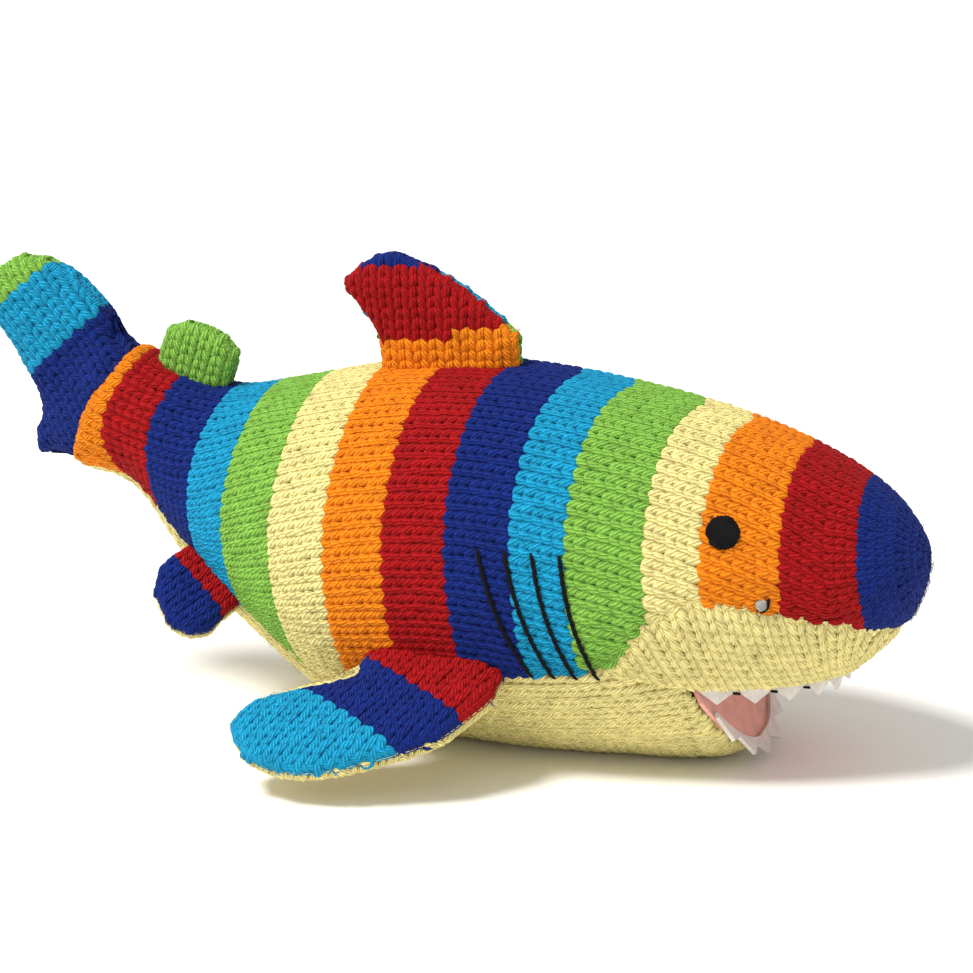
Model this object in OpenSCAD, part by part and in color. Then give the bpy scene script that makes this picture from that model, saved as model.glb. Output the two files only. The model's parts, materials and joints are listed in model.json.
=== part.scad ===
// Knitted plush shark: striped back, cream belly and muzzle, felt mouth and stuffed fins.
// +X runs to the nose, +Y to the shark's left and +Z up. The belly rests on z = 0.

/* [Body] */
// Length of the body, from the nose tip to the tail seam
body_length = 293; // [240:1:360]
// Height of the body where it is fullest
body_height = 130.5; // [105:0.5:160]
// Width of the body where it is fullest
body_width = 122; // [98:1:150]
// Thickness of every knitted skin
knit_thickness = 2.4; // [1.6:0.1:3.2]
// Space left between a skin and the filling behind it
filling_gap = 0.6; // [0.3:0.1:1.2]
// Space between the body and the rounded root of a fin
fin_gap = 0.6; // [0.4:0.1:1.5]

/* [Mouth] */
// Distance from the nose tip back to the corners of the mouth
mouth_back = 70.5; // [56:0.5:85]
// Distance from the nose tip back to the front of the upper lip
lip_back = 25.5; // [20:0.5:30]
// Height of the upper lip and the corners of the mouth
lip_height = 35.5; // [30:0.5:42]
// Angle that the lower jaw stands forward of straight down
jaw_open = 28; // [22:1:34]
// Thickness of the felt in the mouth
felt_thickness = 1.3; // [0.8:0.1:2]
// Length of a felt tooth
tooth_length = 5.5; // [4:0.5:8]
// Number of teeth along the upper lip
upper_tooth_count = 11; // [7:2:15]
// Number of teeth along the lower lip
lower_tooth_count = 6; // [4:1:8]
// Clearance around the lower jaw
jaw_gap = 0.5; // [0.4:0.1:1]

/* [Face] */
// Diameter of an embroidered eye
eye_diameter = 11; // [8:0.5:14]
// Diameter of an embroidered nostril
nostril_diameter = 5.6; // [4:0.2:8]
// Height that embroidery stands proud of the knit
thread_height = 1; // [0.6:0.1:1.4]
// Width of one gill line
gill_width = 2.2; // [1.4:0.1:3]
// Spacing of the gill lines
gill_pitch = 9; // [7:0.5:11]

/* [Back fins] */
// Length of the dorsal fin's root
dorsal_chord = 51; // [42:1:60]
// Height of the dorsal fin above its hinge line
dorsal_span = 30; // [24:0.5:36]
// Half thickness of the dorsal fin at its root
dorsal_half = 8; // [6:0.5:10]
// Length of the rear dorsal fin's root
rear_dorsal_chord = 30; // [24:1:36]
// Height of the rear dorsal fin above its hinge line
rear_dorsal_span = 12; // [9:0.5:16]
// Half thickness of the rear dorsal fin at its root
rear_dorsal_half = 6; // [5:0.5:8]

/* [Side fins] */
// Length of a pectoral fin's root
pectoral_chord = 50; // [40:1:60]
// Reach of a pectoral fin beyond its hinge line
pectoral_span = 43; // [34:1:52]
// Half thickness of a pectoral fin at its root
pectoral_half = 7.5; // [6:0.5:9]
// Angle that a pectoral fin droops below level
pectoral_droop = 32; // [26:1:36]
// Length of a pelvic fin's root
pelvic_chord = 31; // [25:1:37]
// Reach of a pelvic fin beyond its hinge line
pelvic_span = 17; // [13:0.5:20]
// Half thickness of a pelvic fin at its root
pelvic_half = 6; // [5:0.5:8]
// Angle that a pelvic fin droops below level
pelvic_droop = 40; // [30:1:50]

/* [Tail fin] */
// Height of the tail fin's root, along the tail seam
tail_chord = 51; // [42:1:58]
// Reach of the tail fin behind its hinge line
tail_span = 55; // [45:1:66]
// Half thickness of the tail fin at its root
tail_half = 9; // [7:0.5:11]

/* [Hidden] */

// Body sections from the nose to the tail seam. Each gives its place along the body, its
// centre height, half width, height above and depth below the centre, all as shares of the
// body's length, height, half width, height and height, and its lean in degrees.
body_sections = [
    [0.000, 0.575, 0.000, 0.000, 0.000, -6],
    [0.029, 0.563, 0.345, 0.140, 0.165, -6],
    [0.094, 0.544, 0.575, 0.262, 0.300, -4],
    [0.203, 0.521, 0.790, 0.372, 0.500, 0],
    [0.340, 0.506, 0.935, 0.456, 0.522, 0],
    [0.493, 0.506, 1.000, 0.494, 0.525, 0],
    [0.647, 0.506, 0.935, 0.471, 0.482, 3],
    [0.770, 0.575, 0.755, 0.352, 0.360, 8],
    [0.862, 0.648, 0.525, 0.248, 0.250, 14],
    [0.933, 0.758, 0.395, 0.180, 0.180, 20],
    [1.000, 0.808, 0.345, 0.197, 0.197, 29]
];
// The seam below the stripes: place along the body and angle below the widest line
stripe_seam = [
    [0.000, -89.8], [0.026, -89.8], [0.040, -50], [0.077, -21], [0.155, -5], [0.234, 0],
    [0.282, -7], [0.319, -19], [0.346, -22], [0.442, -26], [0.544, -35], [0.657, -43],
    [0.715, -44], [0.790, -41], [0.870, -38], [0.933, -50], [1.000, -72]
];
// Share of the body's length where the muzzle panel begins, behind the mouth's corners
muzzle_start = 0.346;
// Fin roots: share of the body's length at the middle of each root
dorsal_place = 0.566;
rear_dorsal_place = 0.916;
pectoral_place = 0.523;
pelvic_place = 0.813;

// Fin outlines from the front of the root to the back, as shares of the chord and the span
dorsal_outline = [
    [0.5, 0], [0.36, 0.26], [0.08, 0.65], [-0.26, 0.95], [-0.42, 1], [-0.62, 0.84],
    [-0.72, 0.61], [-0.58, 0.26], [-0.5, 0]
];
rear_dorsal_outline = [
    [0.5, 0], [0.45, 0.55], [0.27, 0.87], [0, 1], [-0.27, 0.9], [-0.45, 0.55], [-0.5, 0]
];
pectoral_outline = [
    [0.5, 0], [0.42, 0.17], [0.22, 0.5], [-0.12, 0.76], [-0.56, 0.98], [-0.93, 0.95],
    [-1.18, 0.7], [-1.13, 0.4], [-0.86, 0.2], [-0.66, 0.1], [-0.5, 0]
];
pelvic_outline = [
    [0.5, 0], [0.55, 0.5], [0.36, 0.95], [0.05, 1], [-0.27, 0.78], [-0.44, 0.38], [-0.5, 0]
];
tail_outline = [
    [0.5, 0], [0.63, 0.165], [0.7, 0.52], [0.63, 0.77], [0.47, 0.91], [0.23, 1],
    [0.08, 0.9], [0.02, 0.69], [-0.17, 0.38], [-0.31, 0.24], [-0.48, 0.21], [-0.6, 0.11],
    [-0.5, 0]
];

// Extra half thickness that the stuffing gives each fin between its root and its edge
fin_swell = 2;
// Shares of a fin's root where its first and last sections stand
fin_first = 0.02;
// Steps along and across a fin's skin
fin_rows = 12;
cap_steps = 3;
edge_steps = 5;

// ---- Curves and solids ----
function blend(a, b, f) = a + (b - a) * f;
function unit(v) = v / norm(v);
function flat(rows) = [for (row = rows) for (p = row) p];
function spline(a, b, c, d, f) =
    0.5 * (2 * b + (c - a) * f + (2 * a - 5 * b + 4 * c - d) * f * f
    + (3 * b - a - 3 * c + d) * f * f * f);
// The point on a smooth curve through a list of points, u from 0 to 1
function curve(points, u) =
    let (last = len(points) - 1, t = u * last, k = min(floor(t), last - 1),
        before = k > 0 ? points[k - 1] : 2 * points[0] - points[1],
        after = k + 2 <= last ? points[k + 2] : 2 * points[last] - points[last - 1])
    spline(before, points[k], points[k + 1], after, t - k);

// Two triangles for each cell of a grid of points that starts at index first
function cells(rows, columns, first, turned) = [
    for (i = [0:rows - 2], j = [0:columns - 2])
        let (a = first + i * columns + j, b = a + columns, c = b + 1, d = a + 1)
        each turned ? [[a, b, c], [a, c, d]] : [[a, d, c], [a, c, b]]
];
// A wall between the same run of points on the outer and the inner grid
function wall(run, offset, turned) = [
    for (k = [0:len(run) - 2])
        let (a = run[k], b = run[k + 1], c = b + offset, d = a + offset)
        each turned ? [[a, c, b], [a, d, c]] : [[a, b, c], [a, c, d]]
];
// A sheet with thickness, from a grid of outer points and the same grid of inner points.
// A row's direction crossed with a column's direction points outwards.
module sheet(outer, inner) {
    rows = len(outer);
    columns = len(outer[0]);
    count = rows * columns;
    polyhedron(
        points = concat(flat(outer), flat(inner)),
        faces = concat(
            cells(rows, columns, 0, false),
            cells(rows, columns, count, true),
            wall([for (j = [0:columns - 1]) j], count, true),
            wall([for (j = [0:columns - 1]) count - columns + j], count, false),
            wall([for (i = [0:rows - 1]) i * columns], count, false),
            wall([for (i = [0:rows - 1]) (i + 1) * columns - 1], count, true)
        )
    );
}
// A solid through closed rings of points, with a flat fan over each end
module stuffing(rings) {
    rows = len(rings);
    columns = len(rings[0]);
    closed = [for (ring = rings) concat(ring, [ring[0]])];
    first = rows * columns;
    middle = [for (ring = [rings[0], rings[rows - 1]]) [for (p = ring) 1] * ring / columns];
    polyhedron(
        points = concat(flat(rings), middle),
        faces = concat(
            [for (i = [0:rows - 2], j = [0:columns - 1])
                let (a = i * columns + j, d = i * columns + (j + 1) % columns,
                    b = a + columns, c = d + columns)
                each [[a, d, c], [a, c, b]]],
            [for (j = [0:columns - 1]) [first, (j + 1) % columns, j]],
            [for (j = [0:columns - 1])
                let (a = (rows - 1) * columns) [first + 1, a + j, a + (j + 1) % columns]]
        )
    );
}

// ---- The body's surface ----
sections = [
    for (r = body_sections)
        [-r[0] * body_length, r[1] * body_height, r[2] * body_width / 2,
         r[3] * body_height, r[4] * body_height, r[5]]
];
last_section = len(sections) - 1;
// The section before the nose is the first one turned inside out, which rounds the nose
nose_before = [
    sections[1][0], 2 * sections[0][1] - sections[1][1],
    -sections[1][2], -sections[1][3], -sections[1][4], sections[1][5]
];
function section_at(t) =
    let (k = min(floor(t), last_section - 1),
        before = k > 0 ? sections[k - 1] : nose_before,
        after = k + 2 <= last_section ? sections[k + 2]
            : 2 * sections[last_section] - sections[last_section - 1])
    spline(before, sections[k], sections[k + 1], after, t - k);
knots = [for (t = [0:0.05:last_section + 0.01]) [-section_at(min(t, last_section))[0] / body_length,
    min(t, last_section)]];
// Where the body stands along X: the nose tip and the tail fin's tip are equally far out
tail_tilt = body_sections[last_section][5];
tail_up = [sin(tail_tilt), 0, cos(tail_tilt)];
tail_back = [-cos(tail_tilt), 0, sin(tail_tilt)];
tail_reach = max([for (i = [0:fin_rows])
    let (p = curve(tail_outline, fin_u(i)))
    -(p[0] * tail_chord * tail_up[0] + p[1] * tail_span * tail_back[0])])
    - (tail_half + fin_gap) * tail_back[0];
nose_reach = max([for (t = [0:0.02:1]) section_at(t)[0]]);
nose_x = (body_length + tail_reach - nose_reach) / 2;

// The skin's outer point at a share of the body's length and an angle. Angle 0 is the
// shark's right, 90 the back, 180 its left and -90 the belly.
function skin(share, angle) =
    let (r = section_at(lookup(share, knots)),
        h = (sin(angle) > 0 ? r[3] : r[4]) * sin(angle))
    [nose_x + r[0] + h * sin(r[5]), -r[2] * cos(angle), max(0, r[1] + h * cos(r[5]))];
function skin_normal(share, angle) =
    let (step = 0.003,
        along = skin(max(share - step, 0), angle) - skin(min(share + step, 1), angle),
        around = skin(share, angle + 1) - skin(share, angle - 1))
    share > nose_first ? unit(cross(along, around)) : [1, 0, 0];
// The same point moved inwards by a depth
function under_skin(share, angle, depth) = skin(share, angle) - depth * skin_normal(share, angle);

// ---- Seams and lips ----
mouth_share = mouth_back / body_length;
// The front of the lip stands where the body's underside is already lower than the lip
lip_room = 1;
undersides = [
    for (knot = knots)
        if (knot[0] < mouth_share)
            let (r = section_at(knot[1])) [r[4] * cos(r[5]) - r[1], knot[0]]
];
lip_share = max(lip_back / body_length, lookup(lip_room - lip_height, undersides));
mouth_x = nose_x - mouth_back;
mouth_half = body_width * 0.37;
nose_first = 0.00001;
// Angle at which a section meets a level plane
function angle_at_height(share, z) =
    let (r = section_at(lookup(share, knots)))
    -asin(min(1, max(-1, (r[1] - z) / (r[4] * cos(r[5])))));
function stripe_angle(share) = lookup(share, stripe_seam);
corner_angle = angle_at_height(mouth_share, lip_height);
// The seam between the muzzle and the belly runs on to the corner of the mouth
function belly_angle(share) =
    share > muzzle_start ? stripe_angle(share)
    : blend(stripe_angle(muzzle_start), corner_angle,
        (muzzle_start - share) / (muzzle_start - mouth_share));
// The lip's own place, u = 0 at the right corner and 1 at the left corner
function lip_place(u) = blend(mouth_share, lip_share, sin(180 * u));
function lip_angle(u) =
    let (a = u == 0.5 ? -90 : angle_at_height(lip_place(u), lip_height))
    u <= 0.5 ? a : -180 - a;
// The muzzle's two edges, u = 0 at its right rear end and 1 at its left rear end
cheek = 0.2;
seam_front = 0.028;
function half_u(u) = u <= 0.5 ? 2 * u : 2 - 2 * u;
function muzzle_edge(u, inner) =
    let (h = half_u(u),
        upper = [blend(muzzle_start, seam_front, h), stripe_angle(blend(muzzle_start, seam_front, h))],
        behind = blend(muzzle_start, mouth_share, min(1, h / cheek)),
        round = blend(0, 0.5, max(0, (h - cheek) / (1 - cheek))),
        lower = h <= cheek ? [behind, belly_angle(behind)] : [lip_place(round), lip_angle(round)],
        edge = inner ? lower : upper)
    u <= 0.5 ? edge : [edge[0], -180 - edge[1]];

// ---- Skins of the body ----
module back_panel() {
    // The sections stand closer together near the nose, where the skin turns fastest
    rows = 42;
    columns = 26;
    shares = [for (i = [0:rows]) blend(nose_first, 1, pow(1 - i / rows, 2))];
    grid = function (depth) [
        for (share = shares)
            let (low = stripe_angle(share))
            [for (j = [0:columns]) under_skin(share, blend(low, 180 - low, j / columns), depth)]
    ];
    color("steelblue") sheet(grid(0), grid(knit_thickness));
}
module belly_panel() {
    front = mouth_share + jaw_gap / body_length;
    rows = 28;
    columns = 16;
    grid = function (depth) [
        for (i = [0:rows])
            let (share = blend(1, front, i / rows), high = belly_angle(share))
            [for (j = [0:columns]) under_skin(share, blend(-180 - high, high, j / columns), depth)]
    ];
    color("khaki") sheet(grid(0), grid(knit_thickness));
}
module muzzle_panel() {
    rows = 36;
    columns = 6;
    grid = function (depth) [
        for (i = [0:rows])
            let (upper = muzzle_edge(i / rows, false), lower = muzzle_edge(i / rows, true))
            [for (j = [0:columns])
                let (p = blend(upper, lower, j / columns)) under_skin(p[0], p[1], depth)]
    ];
    color("khaki") sheet(grid(0), grid(knit_thickness));
}
// The stuffing stands on the palate over the mouth and on the belly behind it
palate_height = lip_height + 1 + felt_thickness;
module body_filling() {
    depth = knit_thickness + filling_gap;
    columns = 32;
    back_of_mouth = mouth_share + jaw_gap / body_length;
    front_shares = [for (i = [0:12]) blend(back_of_mouth, depth / body_length + nose_first, sqrt(i / 12))];
    shares = concat([for (i = [0:18]) blend(1, back_of_mouth, i / 18)], front_shares);
    color("white") stuffing([
        for (i = [0:len(shares) - 1])
            let (floor_z = i > 18 ? palate_height + filling_gap : depth)
            [for (j = [0:columns - 1])
                let (p = under_skin(shares[i], 360 * j / columns, depth))
                [p[0], p[1], max(p[2], floor_z)]]
    ]);
}

// ---- Mouth ----
felt_gap = 0.1;
felt_inset = knit_thickness + felt_gap;
// Share of the lip left bare at each corner, above and below
upper_bare = 0.03;
lower_bare = 0.06;
// How far a strip of teeth reaches past the lip between two teeth, and behind the lip
tooth_notch = 0.8;
strip_rise = 1.5;
function lip_point(u, depth, z) =
    let (p = under_skin(lip_place(u), lip_angle(u), depth)) [p[0], p[1], z];
module upper_mouth_lining() {
    rows = 24;
    inset = felt_inset + felt_thickness + 2 * felt_gap;
    layer = function (z) [
        for (i = [1:rows / 2 - 1])
            let (a = lip_point(i / rows, inset, z))
            [for (j = [0:4]) [a[0], a[1] * (1 - j / 2), z]]
    ];
    color("lightpink")
        sheet(layer(palate_height), layer(palate_height - felt_thickness));
}
module upper_teeth() {
    steps = 2 * upper_tooth_count;
    strip = function (depth) [
        for (i = [0:steps])
            let (u = blend(upper_bare, 1 - upper_bare, i / steps),
                drop = i % 2 == 1 ? tooth_length : tooth_notch)
            [lip_point(u, depth, lip_height + strip_rise), lip_point(u, depth, lip_height - drop)]
    ];
    color("whitesmoke") sheet(strip(felt_inset), strip(felt_inset + felt_thickness));
}
module tooth_tacks() {
    tack_length = 2.4;
    tack_diameter = 0.9;
    tack_drop = 1.6;
    color("black")
    for (side = [-1, 1], k = [1:2:5])
        let (u = blend(upper_bare, 1 - upper_bare, (k + 1) / (2 * upper_tooth_count)),
            p = lip_point(u, felt_inset - tack_diameter / 2, lip_height - tack_drop))
        translate([p[0], side * p[1], p[2]]) rotate([0, 90, 0])
            cylinder(h = tack_length, d = tack_diameter, center = true, $fn = 16);
}

// ---- Lower jaw: a wedge that turns about the line between the corners of the mouth ----
jaw_pivot = [mouth_x + jaw_gap, 0, lip_height - jaw_gap];
// Share by which the chin draws in between its back and the lower lip
chin_round = 0.07;
// A point of the jaw: forward runs from 0 at its back to 1 at the lower lip
function jaw_point(angle, forward, depth) =
    let (p = skin(mouth_share, angle),
        inward = 1 - depth / jaw_pivot[2],
        reach = (jaw_pivot[2] - p[2]) * inward * (1 - chin_round * pow(forward, 2)),
        turn = forward * jaw_open)
    [jaw_pivot[0] + reach * sin(turn), p[1] * inward * (1 - chin_round / 2 * forward),
     jaw_pivot[2] - reach * cos(turn)];
jaw_front = [cos(jaw_open), 0, sin(jaw_open)];
jaw_first = 0.06;
function jaw_angle(f) =
    blend(-180 - corner_angle, corner_angle, blend(jaw_first, 1 - jaw_first, f));
module lower_jaw_panel() {
    columns = 18;
    rows = 4;
    grid = function (depth) [
        for (i = [0:rows]) [for (j = [0:columns]) jaw_point(jaw_angle(j / columns), i / rows, depth)]
    ];
    color("khaki") sheet(grid(0), grid(knit_thickness));
}
module lower_jaw_filling() {
    columns = 18;
    depth = knit_thickness + filling_gap;
    front = 0.9;
    ring = function (forward) [
        for (j = [0:columns]) jaw_point(jaw_angle(j / columns), forward, depth)
    ];
    color("white") stuffing([for (f = [0:0.3:front]) ring(f)]);
}
module lower_mouth_lining() {
    columns = 18;
    rows = 3;
    // The felt lies on the jaw's front face, from the lip nearly to the hinge line
    reach = 0.95;
    lip_inset = 2 * felt_gap;
    grid = function (raise) [
        for (i = [0:rows])
            [for (j = [0:columns])
                let (p = jaw_point(jaw_angle(j / columns), 1, lip_inset),
                    top = [jaw_pivot[0], p[1], jaw_pivot[2]])
                blend(p, top, reach * i / rows) + raise * jaw_front]
    ];
    color("lightpink") sheet(grid(felt_gap + felt_thickness), grid(felt_gap));
}
module lower_teeth() {
    steps = 2 * lower_tooth_count;
    // The strip stands on the lining and flops forward, sideways and down over the lip
    flop = [0.45, 0.8, -0.55];
    root = felt_thickness + 2 * felt_gap;
    strip = function (raise) [
        for (i = [0:steps])
            let (f = blend(lower_bare, 1 - lower_bare, i / steps),
                p = jaw_point(jaw_angle(f), 1, strip_rise) + (root + raise) * jaw_front,
                out = unit([flop[0], flop[1] * p[1] / mouth_half, flop[2]]))
            [p, p + out * (strip_rise + (i % 2 == 1 ? tooth_length : tooth_notch))]
    ];
    color("whitesmoke") sheet(strip(felt_thickness), strip(0));
}

// ---- Embroidery ----
// A low dome of thread on the skin at a share and an angle
module thread_patch(share, angle, diameter) {
    p = skin(share, angle);
    n = skin_normal(share, angle);
    turn = [0, acos(n[2]), atan2(n[1], n[0])];
    ball = (pow(diameter / 2, 2) + pow(thread_height, 2)) / (2 * thread_height);
    translate(p + 0.05 * n) rotate(turn)
        intersection() {
            cylinder(h = thread_height, d = diameter, $fn = 128);
            translate([0, 0, thread_height - ball]) sphere(r = ball, $fn = 256);
        }
}
eye_place = 0.205;
eye_angle = 26;
nostril_place = 0.16;
nostril_angle = -2.5;
module eye(side) {
    color("black") mirror([0, side > 0 ? 1 : 0, 0]) thread_patch(eye_place, eye_angle, eye_diameter);
}
module nostril(side) {
    color("gray") mirror([0, side > 0 ? 1 : 0, 0])
        thread_patch(nostril_place, nostril_angle, nostril_diameter);
}
gill_place = 0.397;
gill_count = 4;
gill_high = 14;
gill_low = -23.5;
// Shares of the body's length by which a gill line leans and bows
gill_lean = 0.05;
gill_bow = 0.006;
// Share by which the lines draw together at their lower ends
gill_gather = 0.2;
module gill_stitches(side) {
    steps = 7;
    half = gill_width / 2 / body_length;
    color("black") mirror([0, side > 0 ? 1 : 0, 0])
    for (k = [0:gill_count - 1]) {
        // Each line leans forward as it goes down and bows a little
        line = function (lift) [
            for (edge = [1, -1])
                [for (j = [0:steps])
                    let (f = j / steps,
                        row = (k - (gill_count - 1) / 2) * (1 - gill_gather * (1 - f)),
                        share = gill_place + row * gill_pitch / body_length
                            + gill_lean * (f - 0.5) + gill_bow * sin(180 * f) + edge * half)
                    under_skin(share, blend(gill_low, gill_high, f), -lift)]
        ];
        sheet(line(thread_height), line(0.05));
    }
}

// ---- Fins ----
// A fin is a leaf between its root line and its outline: [outline, chord, span, half]
function root_share(u) = sqrt(sin(180 * u));
function fin_point(fin, u, v, side, depth) =
    let (chord = fin[1], span = fin[2],
        edge = curve(fin[0], u), k = 1 - 2 * depth / chord,
        root = [(0.5 - u) * chord * k, 0],
        tip = [edge[0] * chord * k + (1 - k) * -0.2 * chord * edge[1], edge[1] * (span - depth)],
        p = blend(root, tip, v),
        thick = root_share(u) * ((fin[3] - depth) * sqrt(max(0, 1 - v * v)) + fin_swell * 4 * v * (1 - v)))
    [p[0], p[1], side * thick];
// Across one side of the fin: round the root, then out to the edge
function fin_side(fin, u, side, depth) = concat(
    [for (k = [0:cap_steps - 1])
        let (turn = 90 * k / cap_steps, root = fin_point(fin, u, 0, 1, depth))
        [root[0], -root[2] * cos(turn), side * root[2] * sin(turn)]],
    [for (k = [0:edge_steps]) fin_point(fin, u, sin(90 * k / edge_steps), side, depth)]
);
// A frame is [middle of the hinge line, forward, outward, normal]
function place(frame, p) = frame[0] + p[0] * frame[1] + p[1] * frame[2] + p[2] * frame[3];
function fin_u(i) = blend(fin_first, 1 - fin_first, i / fin_rows);
module fin_panel(fin, frame, side) {
    grid = function (depth) [
        for (i = [0:fin_rows])
            [for (p = fin_side(fin, fin_u(side > 0 ? fin_rows - i : i), side, depth)) place(frame, p)]
    ];
    sheet(grid(0), grid(knit_thickness));
}
module fin_filling(fin, frame) {
    depth = knit_thickness + filling_gap;
    color("white") stuffing([
        for (i = [0:fin_rows])
            let (u = fin_u(fin_rows - i),
                right = fin_side(fin, u, 1, depth), left = fin_side(fin, u, -1, depth))
            [for (p = concat(right, [for (k = [len(left) - 2:-1:1]) left[k]])) place(frame, p)]
    ]);
}
// The frame of a fin whose root runs along the skin. Its hinge line stands off the skin by
// the root's half thickness and the fin gap.
function fin_frame(front, middle, rear, outward, half) =
    let (forward = unit(front - rear),
        out = unit(outward - (outward * forward) * forward))
    [middle + out * (half + fin_gap), forward, out, cross(forward, out)];
function back_frame(place, chord, half) =
    let (reach = chord / 2 / body_length)
    fin_frame(skin(place - reach, 90), skin(place, 90), skin(place + reach, 90), [0, 0, 1], half);
function side_frame(place, chord, half, droop, front_angle, middle_angle, rear_angle) =
    let (reach = chord / 2 / body_length)
    fin_frame(skin(place - reach, front_angle), skin(place, middle_angle),
        skin(place + reach, rear_angle), [0, -cos(droop), -sin(droop)], half);

dorsal = [dorsal_outline, dorsal_chord, dorsal_span, dorsal_half];
dorsal_frame = back_frame(dorsal_place, dorsal_chord, dorsal_half);
rear_dorsal = [rear_dorsal_outline, rear_dorsal_chord, rear_dorsal_span, rear_dorsal_half];
rear_dorsal_frame = back_frame(rear_dorsal_place, rear_dorsal_chord, rear_dorsal_half);
pectoral = [pectoral_outline, pectoral_chord, pectoral_span, pectoral_half];
// The pectoral fins' roots are level, at the height of the seam under their front ends
pectoral_front = pectoral_place - pectoral_chord / 2 / body_length;
pectoral_height = skin(pectoral_front, stripe_angle(pectoral_front))[2];
pectoral_angle = angle_at_height(pectoral_place, pectoral_height);
pectoral_frame = side_frame(pectoral_place, pectoral_chord, pectoral_half, pectoral_droop,
    pectoral_angle, pectoral_angle, pectoral_angle);
pelvic = [pelvic_outline, pelvic_chord, pelvic_span, pelvic_half];
// The pelvic fins' roots follow the seam below the stripes
pelvic_reach = pelvic_chord / 2 / body_length;
pelvic_frame = side_frame(pelvic_place, pelvic_chord, pelvic_half, pelvic_droop,
    stripe_angle(pelvic_place - pelvic_reach), stripe_angle(pelvic_place),
    stripe_angle(pelvic_place + pelvic_reach));
tail = [tail_outline, tail_chord, tail_span, tail_half];
tail_seam = [nose_x - body_length, 0, body_sections[last_section][1] * body_height];
tail_frame = [tail_seam + (tail_half + fin_gap) * tail_back, tail_up, tail_back, cross(tail_up, tail_back)];

module right() { children(); }
module left() { mirror([0, 1, 0]) children(); }
module dorsal_right_panel() { color("crimson") fin_panel(dorsal, dorsal_frame, 1); }
module dorsal_left_panel() { color("navy") fin_panel(dorsal, dorsal_frame, -1); }
module dorsal_filling() { fin_filling(dorsal, dorsal_frame); }
module rear_dorsal_right_panel() { color("olivedrab") fin_panel(rear_dorsal, rear_dorsal_frame, 1); }
module rear_dorsal_left_panel() { color("olivedrab") fin_panel(rear_dorsal, rear_dorsal_frame, -1); }
module rear_dorsal_filling() { fin_filling(rear_dorsal, rear_dorsal_frame); }
module pectoral_top() { color("deepskyblue") fin_panel(pectoral, pectoral_frame, -1); }
module pectoral_bottom() { color("khaki") fin_panel(pectoral, pectoral_frame, 1); }
module pectoral_filling() { fin_filling(pectoral, pectoral_frame); }
module pelvic_top() { color("navy") fin_panel(pelvic, pelvic_frame, -1); }
module pelvic_bottom() { color("khaki") fin_panel(pelvic, pelvic_frame, 1); }
module pelvic_filling() { fin_filling(pelvic, pelvic_frame); }
module tail_right_panel() { color("mediumblue") fin_panel(tail, tail_frame, 1); }
module tail_left_panel() { color("mediumblue") fin_panel(tail, tail_frame, -1); }
module tail_filling() { fin_filling(tail, tail_frame); }

back_panel();
belly_panel();
muzzle_panel();
body_filling();
upper_mouth_lining();
upper_teeth();
tooth_tacks();
eye(-1);  // eye_right
eye(1);  // eye_left
nostril(-1);  // nostril_right
nostril(1);  // nostril_left
gill_stitches(-1);  // gill_stitches_right
gill_stitches(1);  // gill_stitches_left
lower_jaw_panel();
lower_jaw_filling();
lower_mouth_lining();
lower_teeth();
dorsal_right_panel();
dorsal_left_panel();
dorsal_filling();
rear_dorsal_right_panel();
rear_dorsal_left_panel();
rear_dorsal_filling();
right() pectoral_top();  // pectoral_right_top
right() pectoral_bottom();  // pectoral_right_bottom
right() pectoral_filling();  // pectoral_right_filling
left() pectoral_top();  // pectoral_left_top
left() pectoral_bottom();  // pectoral_left_bottom
left() pectoral_filling();  // pectoral_left_filling
right() pelvic_top();  // pelvic_right_top
right() pelvic_bottom();  // pelvic_right_bottom
right() pelvic_filling();  // pelvic_right_filling
left() pelvic_top();  // pelvic_left_top
left() pelvic_bottom();  // pelvic_left_bottom
left() pelvic_filling();  // pelvic_left_filling
tail_right_panel();
tail_left_panel();
tail_filling();
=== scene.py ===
"""Knitted plush shark: a machine-knitted toy, stitch by stitch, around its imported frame.

Lengths are in metres. +X runs to the nose, +Y to the shark's left and +Z up. A knitted panel
is a surface of two parameters, wales across it and courses along it, and every stitch is two
legs of yarn that lie on that surface.
"""

import json
import math

import bpy
import numpy as np
from mathutils import Matrix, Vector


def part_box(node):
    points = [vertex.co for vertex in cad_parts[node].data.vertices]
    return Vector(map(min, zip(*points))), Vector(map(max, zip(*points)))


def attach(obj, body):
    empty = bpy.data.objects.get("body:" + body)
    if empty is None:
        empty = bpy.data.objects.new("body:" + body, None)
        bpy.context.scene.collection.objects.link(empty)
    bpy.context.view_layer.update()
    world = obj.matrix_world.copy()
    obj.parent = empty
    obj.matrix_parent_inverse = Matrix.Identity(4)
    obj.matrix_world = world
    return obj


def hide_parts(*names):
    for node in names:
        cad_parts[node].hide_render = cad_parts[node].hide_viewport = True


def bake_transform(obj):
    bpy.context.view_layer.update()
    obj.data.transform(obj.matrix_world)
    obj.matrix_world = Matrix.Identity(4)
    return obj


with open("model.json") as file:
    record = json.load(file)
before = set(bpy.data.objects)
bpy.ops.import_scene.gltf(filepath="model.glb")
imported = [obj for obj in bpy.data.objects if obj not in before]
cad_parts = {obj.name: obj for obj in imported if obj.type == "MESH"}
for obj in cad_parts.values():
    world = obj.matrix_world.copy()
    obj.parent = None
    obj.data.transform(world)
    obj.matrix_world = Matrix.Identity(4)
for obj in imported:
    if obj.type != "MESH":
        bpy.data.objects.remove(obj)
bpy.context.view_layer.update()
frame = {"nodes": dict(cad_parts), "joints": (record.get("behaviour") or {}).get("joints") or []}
MM = 0.001
JOINTS = {joint["name"]: joint for joint in frame["joints"]}

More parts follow.
